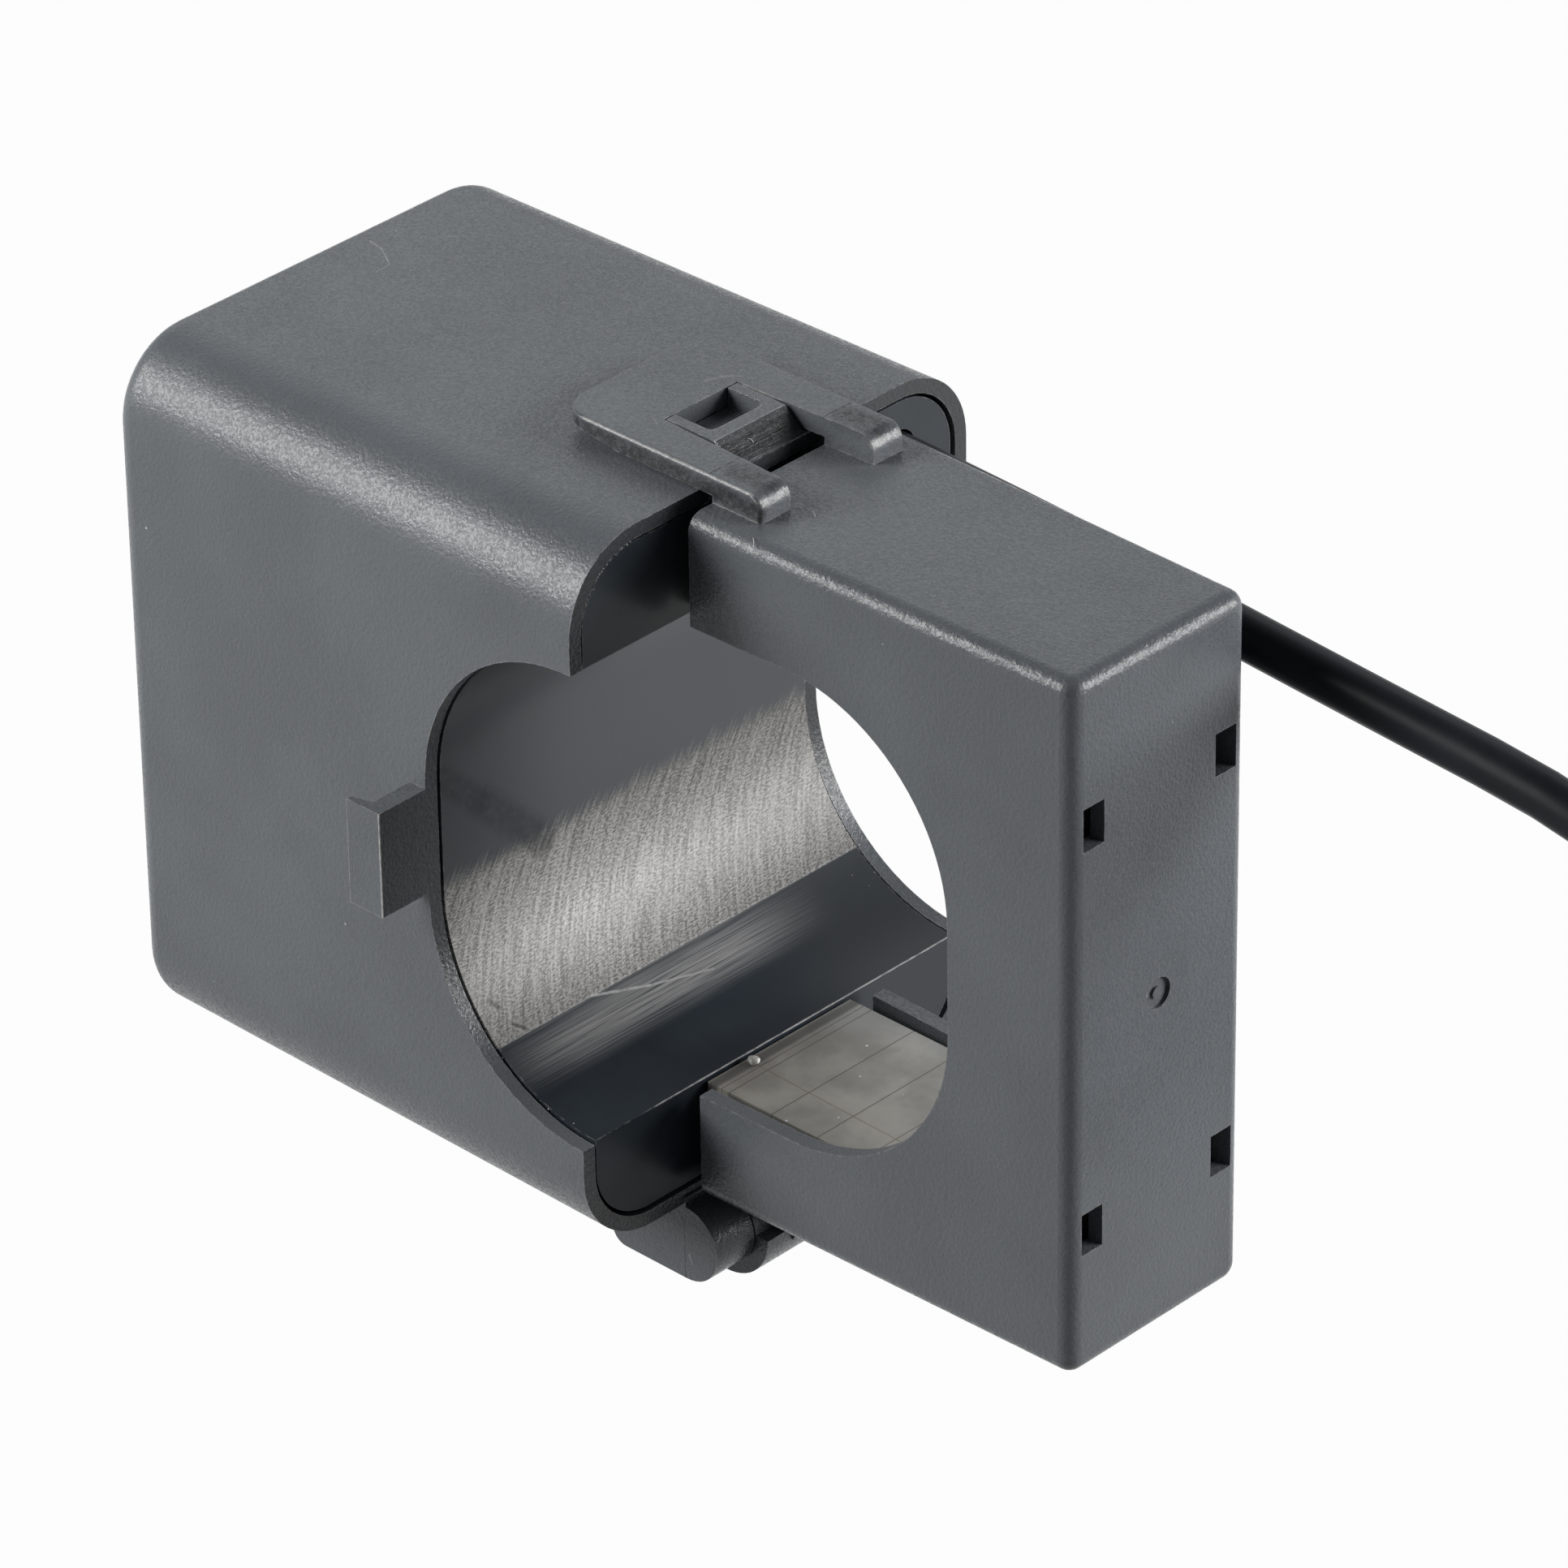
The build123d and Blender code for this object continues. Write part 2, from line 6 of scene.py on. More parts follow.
# %% Load the frame
import bpy, bmesh, json, math
from mathutils import Euler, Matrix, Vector


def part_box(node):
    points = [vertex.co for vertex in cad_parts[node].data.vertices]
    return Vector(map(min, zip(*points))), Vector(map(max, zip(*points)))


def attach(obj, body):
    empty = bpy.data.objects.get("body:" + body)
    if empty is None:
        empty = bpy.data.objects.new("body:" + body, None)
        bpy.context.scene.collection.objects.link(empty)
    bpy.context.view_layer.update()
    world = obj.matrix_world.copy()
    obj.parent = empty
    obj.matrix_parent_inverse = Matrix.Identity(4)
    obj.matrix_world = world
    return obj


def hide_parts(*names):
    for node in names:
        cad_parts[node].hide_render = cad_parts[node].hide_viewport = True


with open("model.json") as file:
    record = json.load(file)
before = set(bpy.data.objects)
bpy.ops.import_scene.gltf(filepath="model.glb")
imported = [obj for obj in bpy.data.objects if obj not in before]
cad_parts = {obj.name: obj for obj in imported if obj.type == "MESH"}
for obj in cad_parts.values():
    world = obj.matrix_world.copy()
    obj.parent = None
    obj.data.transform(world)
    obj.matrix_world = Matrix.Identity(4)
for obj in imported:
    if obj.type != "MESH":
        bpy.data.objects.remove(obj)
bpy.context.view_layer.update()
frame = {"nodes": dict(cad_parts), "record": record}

MM = 0.001  # the lengths below are in millimetres of the shared frame
nodes = frame["nodes"]


def add_object(name, data):
    """A new object of the scene, at the origin."""
    made = bpy.data.objects.new(name, data)
    bpy.context.scene.collection.objects.link(made)
    return made


# %% [markdown]
# The camera stands where the real one stood: about two thirds of a metre away, high and to the right,
# with a long lens. Its place and turn were worked out from the housing's straight edges, so the
# vanishing lines of the render fall on those of the photograph.

# %% Camera
CAMERA_PLACE = (396.41, -409.33, 347.16)
CAMERA_TURN = (58.7856, 0.7240, 43.5793)
CAMERA_LENS = 218.296

camera_data = bpy.data.cameras.new("camera")
camera_data.lens = CAMERA_LENS
camera_data.sensor_width = 36.0
camera_data.clip_start = 0.05
camera_data.clip_end = 10.0
camera = add_object("camera", camera_data)
camera.location = Vector(CAMERA_PLACE) * MM
camera.rotation_euler = Euler([math.radians(a) for a in CAMERA_TURN], "XYZ")
bpy.context.scene.camera = camera
print("camera is", round(camera.location.length, 3), "m from the window's middle")

# %% [markdown]
# The output cable is one long piece of flexible jacket, so it is one open NURBS spline. It leaves the
# back of the housing behind the jaw, runs out past the picture's edge, falls to the table in one
# easy curve, and is put away there as a tied coil of six turns. The free end comes out under the coil
# and stops short of its two stripped cores.

# %% Cable route
CABLE_D = 3.5
FLOOR_Z = -35.95
COIL_CENTRE = (80.6, 31.0)
COIL_RADIUS = 19.5
COIL_TURNS = 6
CHANGE_DEG = 60.0  # the last stretch of a turn, in which the cable moves over to the next one's place
JOIN_DEG = 120.0  # where the cable comes onto the coil
LEAVE_DEG = 88.0  # where its free end leaves the coil
ROUTE = [
    (-8.0, 13.0, 23.0),
    (14.0, 12.6, 22.8),
    (38.0, 13.0, 20.65),
    (69.5, 13.3, 18.35),
    (93.6, 13.4, 1.7),
    (105.2, 23.6, -8.2),
    (105.3, 40.0, -16.2),
    (94.4, 51.3, -22.2),
    (79.6, 52.0, -25.8),
]
TAIL = [(71.5, 52.0), (61.0, 50.2), (52.0, 50.5)]


def coil_turns(step_deg=24.0):
    """Points of the coil's turns, layer by layer from the top, inwards and outwards by turns."""
    outer, inner = COIL_RADIUS + CABLE_D / 2, COIL_RADIUS - CABLE_D / 2
    places = [(outer, 2), (inner, 2), (inner, 1), (outer, 1), (outer, 0), (inner, 0)]
    total = 360.0 * COIL_TURNS - (JOIN_DEG - LEAVE_DEG)
    count = int(total / step_deg)
    points = []
    for k in range(count + 1):
        turn = total * k / count
        lap = min(int(turn // 360.0), COIL_TURNS - 1)
        along = turn - 360.0 * lap
        radius, layer = places[lap]
        if lap < COIL_TURNS - 1 and along > 360.0 - CHANGE_DEG:
            next_radius, next_layer = places[lap + 1]
            share = (along - (360.0 - CHANGE_DEG)) / CHANGE_DEG
            share = share * share * (3 - 2 * share)
            radius += (next_radius - radius) * share
            layer += (next_layer - layer) * share
        angle = math.radians(JOIN_DEG + turn)
        points.append((COIL_CENTRE[0] + radius * math.cos(angle),
                       COIL_CENTRE[1] + radius * math.sin(angle),
                       FLOOR_Z + CABLE_D * (layer + 0.5)))
    return points


turns = coil_turns()
tail = [(x, y, FLOOR_Z + CABLE_D / 2) for x, y in TAIL]
cable_points = ROUTE + turns + tail
print("cable points", len(cable_points), "coil points", len(turns))

# %% [markdown]
# A curve's thickness is its bevel times the radius at each point. Here the bevel is 1 and the points
# carry the real radius, because the box of a curve counts that radius in: with the usual radius of 1,
# the lead's box would be two metres wide. The fibres further down are drawn the same way.

# %% Cable spline
def smooth_line(name, points, thickness, roundness, steps):
    """A closed round tube along a NURBS spline; control points and thickness in millimetres."""
    curve = bpy.data.curves.new(name, "CURVE")
    curve.dimensions = "3D"
    curve.bevel_depth = 1.0
    curve.bevel_resolution = roundness
    curve.resolution_u = steps
    curve.use_fill_caps = True
    spline = curve.splines.new("NURBS")
    spline.points.add(len(points) - 1)
    for point, place in zip(spline.points, points):
        point.co = (*(Vector(place) * MM), 1.0)
        point.radius = thickness / 2 * MM
    spline.order_u = 3
    spline.use_endpoint_u = True
    return curve


cable_curve = smooth_line("output_lead", cable_points, CABLE_D, 5, 6)
lead = add_object("output_lead", cable_curve)
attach(lead, "housing")
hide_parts("output_cable", "cable_coil", "cable_tail")
print("spline length in mm", round(cable_curve.splines[0].calc_length() / MM, 1))

# %% [markdown]
# Every material and every grown piece below is a tree of nodes, so a few small helpers come first. Each
# takes numbers and sockets alike, which lets a finish be written down like a sum.

# %% Node helpers
def new_material(name):
    """An empty node material with its output, to build on."""
    material = bpy.data.materials.new(name)
    material.use_nodes = True
    material.node_tree.nodes.clear()
    output = material.node_tree.nodes.new("ShaderNodeOutputMaterial")
    return material, material.node_tree, output


def feed(tree, socket, value):
    """Links a socket to the input, or writes a plain value on it."""
    if isinstance(value, bpy.types.NodeSocket):
        tree.links.new(value, socket)
    else:
        socket.default_value = value


def add_node(tree, kind, **values):
    """A node with its plain settings and its inputs set by name."""
    node = tree.nodes.new(kind)
    for name, value in values.items():
        if name in node.inputs:
            feed(tree, node.inputs[name], value)
        else:
            setattr(node, name, value)
    return node


def calc(tree, operation, *values, clamp=False):
    """The result of a math node; each value is a number or a socket."""
    node = add_node(tree, "ShaderNodeMath", operation=operation, use_clamp=clamp)
    for socket, value in zip(node.inputs, values):
        feed(tree, socket, value)
    return node.outputs[0]


def times(tree, first, *others):
    """The product of numbers and sockets."""
    for other in others:
        first = calc(tree, "MULTIPLY", first, other)
    return first


def away_from(tree, value, middle):
    """How far a value is from the middle, either way."""
    return calc(tree, "ABSOLUTE", calc(tree, "SUBTRACT", value, middle))


def vector_calc(tree, operation, *values):
    """The result of a vector math node."""
    node = add_node(tree, "ShaderNodeVectorMath", operation=operation)
    for socket, value in zip(node.inputs, values):
        feed(tree, socket, value)
    return node.outputs[1] if operation in ("LENGTH", "DOT_PRODUCT") else node.outputs[0]


def drawn_out(tree, vector, factor):
    """A vector times a number or a socket."""
    node = add_node(tree, "ShaderNodeVectorMath", operation="SCALE")
    feed(tree, node.inputs[0], vector)
    feed(tree, node.inputs["Scale"], factor)
    return node.outputs[0]


def fade(tree, value, low, high):
    """A smooth step from 0 at low to 1 at high; low may be the larger."""
    node = tree.nodes.new("ShaderNodeMapRange")
    node.interpolation_type = "SMOOTHSTEP"
    feed(tree, node.inputs[0], value)
    if low < high:
        node.inputs[1].default_value, node.inputs[2].default_value = low, high
    else:
        node.inputs[1].default_value, node.inputs[2].default_value = high, low
        node.inputs[3].default_value, node.inputs[4].default_value = 1.0, 0.0
    return node.outputs[0]


def grey(tone):
    """A grey or a colour as four numbers."""
    return (tone, tone, tone, 1.0) if isinstance(tone, (int, float)) else (*tone, 1.0)


def scaled(colour, factor):
    """A colour or a vector times a factor."""
    return tuple(c * factor for c in colour)


def blend(tree, share, first, second, how="MIX"):
    """A mix of two colours, each a socket, a grey or a colour."""
    node = tree.nodes.new("ShaderNodeMix")
    node.data_type = "RGBA"
    node.blend_type = how
    feed(tree, node.inputs[0], share)
    for socket, value in ((node.inputs[6], first), (node.inputs[7], second)):
        feed(tree, socket, value if isinstance(value, bpy.types.NodeSocket) else grey(value))
    return node.outputs[2]


def noise(tree, place, scale, detail=2.0, rough=0.5):
    """A noise value between 0 and 1."""
    return add_node(tree, "ShaderNodeTexNoise", Vector=place, Scale=scale, Detail=detail,
                    Roughness=rough).outputs["Fac"]


def mottled(tree, pattern, colour, dark, light, low=0.3, high=0.7):
    """A colour that a pattern turns darker and lighter."""
    return blend(tree, fade(tree, pattern, low, high), scaled(colour, dark), scaled(colour, light))


def uneven_gloss(tree, pattern, rough, spread):
    """A roughness that a pattern spreads about its middle."""
    return calc(tree, "MULTIPLY_ADD", pattern, spread, rough - spread / 2)


def new_surface(name, **values):
    """A new material, its tree, its shader, and the place on the object that its patterns follow."""
    material, tree, output = new_material(name)
    shader = add_node(tree, "ShaderNodeBsdfPrincipled", **values)
    feed(tree, output.inputs["Surface"], shader.outputs[0])
    return material, tree, shader, tree.nodes.new("ShaderNodeTexCoord").outputs["Object"]


def coat(tree, shader, base, rough, height, strength, depth, under=None):
    """Feeds a shader its colour, roughness and relief; depth in millimetres, under is a coarser relief."""
    feed(tree, shader.inputs["Base Color"], base)
    feed(tree, shader.inputs["Roughness"], rough)
    relief = add_node(tree, "ShaderNodeBump", Strength=strength, Distance=depth * MM, Height=height)
    if under:
        feed(tree, relief.inputs["Normal"], under)
    feed(tree, shader.inputs["Normal"], relief.outputs[0])


print("node helpers ready")

# %% [markdown]
# The photograph has a pure white ground and no hard shadow. A white floor gives that: what the camera
# sees of it is mostly its own white, with a little real shading left, so the object still has a faint
# shadow under it. The surroundings are a dim grey, a little brighter at the horizon than overhead.

# %% Floor and surroundings
FLOOR_HALF = 3.0
FLOOR_TONE = 0.16  # low, so the floor throws little light up at the object
OWN_WHITE = 0.975  # the share of its own white in what the camera sees of the floor
HORIZON = (0.13, 0.136, 0.142)
ZENITH = (0.05, 0.053, 0.057)

corners = [(x, y, FLOOR_Z * MM) for x, y in ((-FLOOR_HALF, -FLOOR_HALF), (FLOOR_HALF, -FLOOR_HALF),
                                             (FLOOR_HALF, FLOOR_HALF), (-FLOOR_HALF, FLOOR_HALF))]
floor_mesh = bpy.data.meshes.new("floor")
floor_mesh.from_pydata(corners, [], [(0, 1, 2, 3)])
floor = add_object("floor", floor_mesh)
floor_white, tree, output = new_material("floor_white")
shade = add_node(tree, "ShaderNodeBsdfDiffuse", Color=grey(FLOOR_TONE))
glow = add_node(tree, "ShaderNodeEmission", Strength=1.0)
rays = tree.nodes.new("ShaderNodeLightPath").outputs
seen = calc(tree, "MAXIMUM", rays["Is Camera Ray"], rays["Is Glossy Ray"])
seen = calc(tree, "MAXIMUM", seen, rays["Is Transmission Ray"])
mix = tree.nodes.new("ShaderNodeMixShader")
for socket, value in zip(mix.inputs, (times(tree, seen, OWN_WHITE), shade.outputs[0], glow.outputs[0])):
    feed(tree, socket, value)
feed(tree, output.inputs["Surface"], mix.outputs[0])
floor_mesh.materials.append(floor_white)

world = bpy.data.worlds.new("studio")
world.use_nodes = True
bpy.context.scene.world = world
sky = world.node_tree
around = sky.nodes.new("ShaderNodeTexCoord").outputs["Generated"]
height = add_node(sky, "ShaderNodeSeparateXYZ", Vector=around)
shades = sky.nodes.new("ShaderNodeValToRGB")
for stop, position, tone in zip(shades.color_ramp.elements, (0.35, 0.75), (HORIZON, ZENITH)):
    stop.position = position
    stop.color = grey(tone)
feed(sky, shades.inputs[0], height.outputs["Z"])
feed(sky, sky.nodes["Background"].inputs["Color"], shades.outputs[0])
sky.nodes["Background"].inputs["Strength"].default_value = 1.0
print("floor at", FLOOR_Z, "mm")

# %% [markdown]
# The light is that of a small product studio, and the rounded edges tell where it stood: one soft lamp
# close by at the front left, which draws the bright band along the housing's shoulder and leaves the
# jaw a little darker than the housing, and one at the back right, which draws the band along the
# jaw's end and shines through the window onto the bore. A large weak one at the back left lifts the tops.

# %% Lamps
LAMPS = [  # name, direction, distance and two sides in metres, brightness, tint
    ("front_left", (-0.594, -0.67, 0.446), 0.4, 0.225, 0.225, 14.3, (1.0, 0.99, 0.97)),
    ("back_right", (0.72, 0.62, 0.25), 0.9, 0.58, 0.52, 13.5, (1.0, 0.99, 0.98)),
    ("back_left", (-0.594, 0.615, 0.50), 1.3, 1.2, 0.8, 1.15, (0.96, 0.98, 1.0)),
]


def soft_lamp(name, direction, distance, width, height, brightness, tint):
    """A rectangular lamp of a given brightness that faces the object from a direction."""
    data = bpy.data.lights.new(name, "AREA")
    data.shape = "RECTANGLE"
    data.size = width
    data.size_y = height
    data.energy = brightness * math.pi * width * height
    data.color = tint
    lamp = add_object(name, data)
    lamp.location = Vector(direction).normalized() * distance
    lamp.rotation_euler = (-lamp.location).to_track_quat("-Z", "Y").to_euler()


for row in LAMPS:
    soft_lamp(*row)
print("lamps", [row[0] for row in LAMPS])

# %% [markdown]
# Real use leaves lines: scratches, witness lines of the tool, a thin pale flash where two tool halves
# meet. Some strokes are instead painted shade and painted highlights, where a surface is darker or
# brighter only by how the light falls. Each is a straight stroke between two points of the surface, so
# one small shader group does them all: it measures how far a point lies from the stroke and fades out
# at half its width. A finish then takes a list of strokes, in millimetres of the shared frame.

# %% Strokes
def make_stroke_group():
    """A shader group that is 1 on the line from Start to End and 0 beyond its half width."""
    group = bpy.data.node_groups.new("stroke", "ShaderNodeTree")
    for label, kind in (("Place", "Vector"), ("Start", "Vector"), ("End", "Vector"),
                        ("Half width", "Float")):
        group.interface.new_socket(label, in_out="INPUT", socket_type="NodeSocket" + kind)
    group.interface.new_socket("Mask", in_out="OUTPUT", socket_type="NodeSocketFloat")
    given = group.nodes.new("NodeGroupInput").outputs
    result = group.nodes.new("NodeGroupOutput").inputs
    run = vector_calc(group, "SUBTRACT", given["End"], given["Start"])
    here = vector_calc(group, "SUBTRACT", given["Place"], given["Start"])
    share = calc(group, "DIVIDE", vector_calc(group, "DOT_PRODUCT", here, run),
                 vector_calc(group, "DOT_PRODUCT", run, run), clamp=True)
    foot = drawn_out(group, run, share)
    away = vector_calc(group, "LENGTH", vector_calc(group, "SUBTRACT", here, foot))
    inside = calc(group, "DIVIDE", away, given["Half width"])
    feed(group, result["Mask"], fade(group, inside, 1.0, 0.35))
    return group


stroke_group = make_stroke_group()


def stroke(tree, place, start, end, width):
    """The mask of one stroke, its ends and width in millimetres."""
    node = tree.nodes.new("ShaderNodeGroup")
    node.node_tree = stroke_group
    feed(tree, node.inputs["Place"], place)
    node.inputs["Start"].default_value = Vector(start) * MM
    node.inputs["End"].default_value = Vector(end) * MM
    node.inputs["Half width"].default_value = width / 2 * MM
    return node.outputs["Mask"]


def add_strokes(tree, place, colour, strokes):
    """Lays strokes (start, end, width, tone, strength) over a colour, each a little broken up."""
    patchy = fade(tree, noise(tree, place, 1400.0, 3.0, 0.7), 0.3, 0.6)
    whole = calc(tree, "MULTIPLY_ADD", patchy, 0.6, 0.4)
    for start, end, width, tone, strength in strokes:
        share = times(tree, stroke(tree, place, start, end, width), strength, whole)
        colour = blend(tree, share, colour, tone)
    return colour


print("stroke group has", len(stroke_group.nodes), "nodes")

# %% [markdown]
# All the outside plastic is one grey engineering resin moulded in a spark-eroded tool. The tool's
# craters leave a very fine matt grain, 0.15 mm across, which scatters the light on the flats and breaks
# it into sparks on the rounded edges. The housing's rim and the hook's face towards the jaw carry painted
# shade: faces that look towards the jaw, no further out than the rim, are darkened towards 0.3 of the
# resin's tone. Sharp edges are rubbed pale: a Bevel node sees where the surface turns within 0.15 mm,
# and noise breaks that line up. A little dust sits on it.

# %% Moulded plastic
GREY_RESIN = (0.091, 0.099, 0.109)  # linear light
GRAIN = 0.15  # millimetres
CLOUD = 0.07  # how much darker and lighter the resin clouds
WORN_TONE = 0.36
DUST_TONE = (0.4, 0.41, 0.42)


def wobble(tree, place, amount, scale=900.0):
    """The place shifted a little by noise, so no drawn line is perfectly straight; in millimetres."""
    colour = add_node(tree, "ShaderNodeTexNoise", Vector=place, Scale=scale, Detail=2.0).outputs["Color"]
    shift = drawn_out(tree, vector_calc(tree, "SUBTRACT", colour, (0.5, 0.5, 0.5)), 2 * amount * MM)
    return vector_calc(tree, "ADD", place, shift)


def dust_mask(tree, place, scale=420.0, share=0.07, radius=0.05):
    """Small round specks in a few of the cells of a Voronoi pattern."""
    cells = add_node(tree, "ShaderNodeTexVoronoi", Vector=place, Scale=scale)
    pick = add_node(tree, "ShaderNodeSeparateColor", Color=cells.outputs["Color"])
    chosen = calc(tree, "LESS_THAN", pick.outputs[0], share)
    return times(tree, chosen, fade(tree, cells.outputs["Distance"], radius, radius * 0.6))


def edge_wear(tree, place):
    """1 along sharp edges, broken up by noise."""
    soft = add_node(tree, "ShaderNodeBevel", samples=4, Radius=0.15 * MM)
    flat = tree.nodes.new("ShaderNodeNewGeometry").outputs["Normal"]
    turn = calc(tree, "SUBTRACT", 1.0, vector_calc(tree, "DOT_PRODUCT", soft.outputs[0], flat))
    rubbed = fade(tree, noise(tree, place, 1300.0, 3.0, 0.7), 0.42, 0.62)
    return times(tree, fade(tree, turn, 0.03, 0.14), rubbed)


def shade_towards_jaw_mask(tree, place):
    """Where shade is painted: 1 on the housing's faces that look towards the jaw and lie no further out than
    the rim.
    """
    normal = add_node(tree, "ShaderNodeTexCoord").outputs["Normal"]
    facing = add_node(tree, "ShaderNodeSeparateXYZ", Vector=normal).outputs["X"]
    along_x = add_node(tree, "ShaderNodeSeparateXYZ", Vector=place).outputs["X"]
    return times(tree, fade(tree, facing, 0.8, 0.95), fade(tree, along_x, 0.6 * MM, 0.3 * MM))


def moulded_plastic(name, colour, rough, strokes=(), painted_shade=False, wear=0.6):
    """Matt moulded plastic with its strokes, worn edges and dust, and painted shade towards the jaw where
    asked.
    """
    material, tree, shader, place = new_surface(name)
    shader.inputs["Specular IOR Level"].default_value = 0.27
    fine = noise(tree, place, 500.0 / GRAIN, 2.0, 0.6)
    base = mottled(tree, noise(tree, place, 90.0, 4.0, 0.55), colour, 1 - CLOUD, 1 + CLOUD)
    pits = fade(tree, fine, 0.44, 0.3)
    base = blend(tree, times(tree, pits, 0.1), base, scaled(colour, 0.55))
    # painted shade: faces towards the jaw are darkened towards 0.3 of the resin's tone
    if painted_shade:
        base = blend(tree, times(tree, shade_towards_jaw_mask(tree, place), 0.85), base, scaled(colour, 0.3))
    if strokes:
        base = add_strokes(tree, wobble(tree, place, 0.03), base, strokes)
    base = blend(tree, times(tree, edge_wear(tree, place), wear), base, WORN_TONE)
    base = blend(tree, times(tree, dust_mask(tree, place), 0.8), base, DUST_TONE)
    facets = add_node(tree, "ShaderNodeTexVoronoi", Vector=place, Scale=1000.0 / GRAIN)
    facet = add_node(tree, "ShaderNodeSeparateColor", Color=facets.outputs["Color"]).outputs[0]
    coat(tree, shader, base, uneven_gloss(tree, facet, rough, 0.34), fine, 0.72, 0.07)
    return material


def dress(node, material):
    """Gives a node of the frame its finish."""
    mesh = nodes[node].data
    if not mesh.materials:
        mesh.materials.append(material)
    for slot in nodes[node].material_slots:
        slot.material = material


# %% [markdown]
# The marks on the housing and the jaw were placed by the photograph. Each is a start, an end and a
# width in millimetres, a tone, and how strongly it covers what is under it. A few are painted shade and
# painted highlights, and say so.

# %% Marks on the outside
TOP_Z = 28.5
LATCH_Z = 30.15  # the top of the latch frame, and of the catch in it
DRAFT = math.tan(math.radians(0.55))


def on_top(x, y):
    """A point on the housing's top, which falls away a little with the draft."""
    return (x, y, TOP_Z + DRAFT * x)


def on_latch(x, y):
    """A point on the top of the latch frame or the catch."""
    return (x, y, LATCH_Z)


housing_strokes = [
    # a hairline scratch on the top, in three runs, and two nicks
    (on_top(-43.2, 3.75), on_top(-41.7, 3.47), 0.09, 0.5, 0.7),
    (on_top(-41.7, 3.47), on_top(-39.5, 2.14), 0.07, 0.5, 0.6),
    (on_top(-39.5, 2.14), on_top(-39.38, 0.58), 0.07, 0.45, 0.6),
    (on_top(-39.65, 7.8), on_top(-38.9, 8.4), 0.07, 0.45, 0.6),
    (on_top(-14.6, 17.3), on_top(-13.9, 17.5), 0.12, 0.35, 0.5),
    # a dark crack and a bright nick in the hinge ear's face
    ((0.05, -10.0, -29.4), (0.05, -10.0, -34.8), 0.14, 0.015, 0.75),
    ((0.45, -10.0, -32.6), (0.75, -10.0, -33.4), 0.09, 0.45, 0.7),
    # whitened edges of the side hook
    ((-14.8, -24.25, -4.25), (-14.8, -24.25, 4.25), 0.26, 0.42, 0.85),
    ((-18.05, -24.25, -4.25), (-18.05, -24.25, 4.25), 0.12, 0.3, 0.6),
    ((-18.05, -24.25, -4.25), (-14.8, -24.25, -4.25), 0.12, 0.3, 0.6),
    # bright edges of the catch, and the back finger's painted shadow over the ground ramp
    (on_latch(-6.45, 3.5), on_latch(-3.0, 3.5), 0.12, 0.28, 0.5),
    (on_latch(-3.0, -2.4), on_latch(-3.0, 2.4), 0.12, 0.3, 0.5),
    (on_latch(-1.9, -3.5), on_latch(-1.9, 3.5), 0.16, 0.25, 0.5),
    (on_latch(-1.9, -3.5), (-0.1, -3.5, 28.5), 0.2, 0.5, 0.7),
    ((-0.9, -3.6, 29.25), (-0.9, 3.6, 29.25), 2.7, 0.012, 0.85),
]
jaw_strokes = [
    # witness lines across the latch's two fingers, on top and down the side
    (on_latch(1.0, -7.15), on_latch(1.0, -3.65), 0.2, 0.006, 0.9),
    (on_latch(1.0, -7.15), (0.4, -7.15, 28.7), 0.12, 0.012, 0.7),
    (on_latch(1.3, 3.62), on_latch(1.3, 7.15), 0.2, 0.006, 0.9),
    (on_latch(1.3, 3.62), (0.7, 3.62, 28.7), 0.12, 0.012, 0.7),
    # where the fingers' feet meet the jaw
    ((1.6, -7.15, 28.12), (5.8, -7.15, 28.12), 0.12, 0.35, 0.6),
    ((1.6, 3.62, 28.12), (5.8, 3.62, 28.12), 0.1, 0.3, 0.5),
    # rubbed corners of the latch's opening, and of a finger
    (on_latch(-8.3, 2.2), on_latch(-7.9, 3.5), 0.3, 0.17, 0.7),
    (on_latch(-7.9, 3.5), on_latch(-7.0, 4.4), 0.3, 0.17, 0.7),
    (on_latch(-7.3, -3.9), on_latch(-6.5, -4.4), 0.25, 0.17, 0.6),
    ((5.0, -7.15, 30.0), (5.9, -7.15, 29.4), 0.2, 0.4, 0.7),
    # the fingers' darker tops, and painted highlights on their rounded ends
    (on_latch(2.4, -5.4), on_latch(4.4, -5.4), 3.3, 0.02, 0.85),
    (on_latch(2.4, 5.4), on_latch(4.4, 5.4), 3.3, 0.02, 0.85),
    ((5.8, -7.0, 29.5), (5.8, -3.7, 29.5), 0.9, 0.3, 0.6),
    ((5.8, 3.7, 29.5), (5.8, 7.0, 29.5), 0.9, 0.3, 0.6),
    # a nick by the gate mark on the jaw's end
    ((35.95, -1.2, 0.3), (35.95, -0.9, 0.8), 0.12, 0.4, 0.6),
    # painted shade on the latch plate's side, and painted highlights along its top edges
    ((-12.5, -7.3, 29.3), (5.9, -7.3, 28.9), 2.2, 0.015, 0.85),
    ((-11.0, -7.04, 30.05), (5.3, -7.04, 30.05), 0.3, 0.3, 0.75),
    ((-11.0, 7.04, 30.05), (5.3, 7.04, 30.05), 0.26, 0.22, 0.6),
    ((-6.0, 3.68, 30.08), (5.3, 3.68, 30.08), 0.28, 0.3, 0.7),
    ((-13.5, -4.6, 30.05), (-13.5, 4.6, 30.05), 0.36, 0.24, 0.6),
]
# the housing carries painted shade on its faces towards the jaw
housing_plastic = moulded_plastic("housing_plastic", GREY_RESIN, 0.33, housing_strokes, painted_shade=True)
jaw_plastic = moulded_plastic("jaw_plastic", GREY_RESIN, 0.31, jaw_strokes)
dress("body_shell", housing_plastic)
dress("jaw_shell", jaw_plastic)
print("strokes", len(housing_strokes), "on the housing,", len(jaw_strokes), "on the jaw")
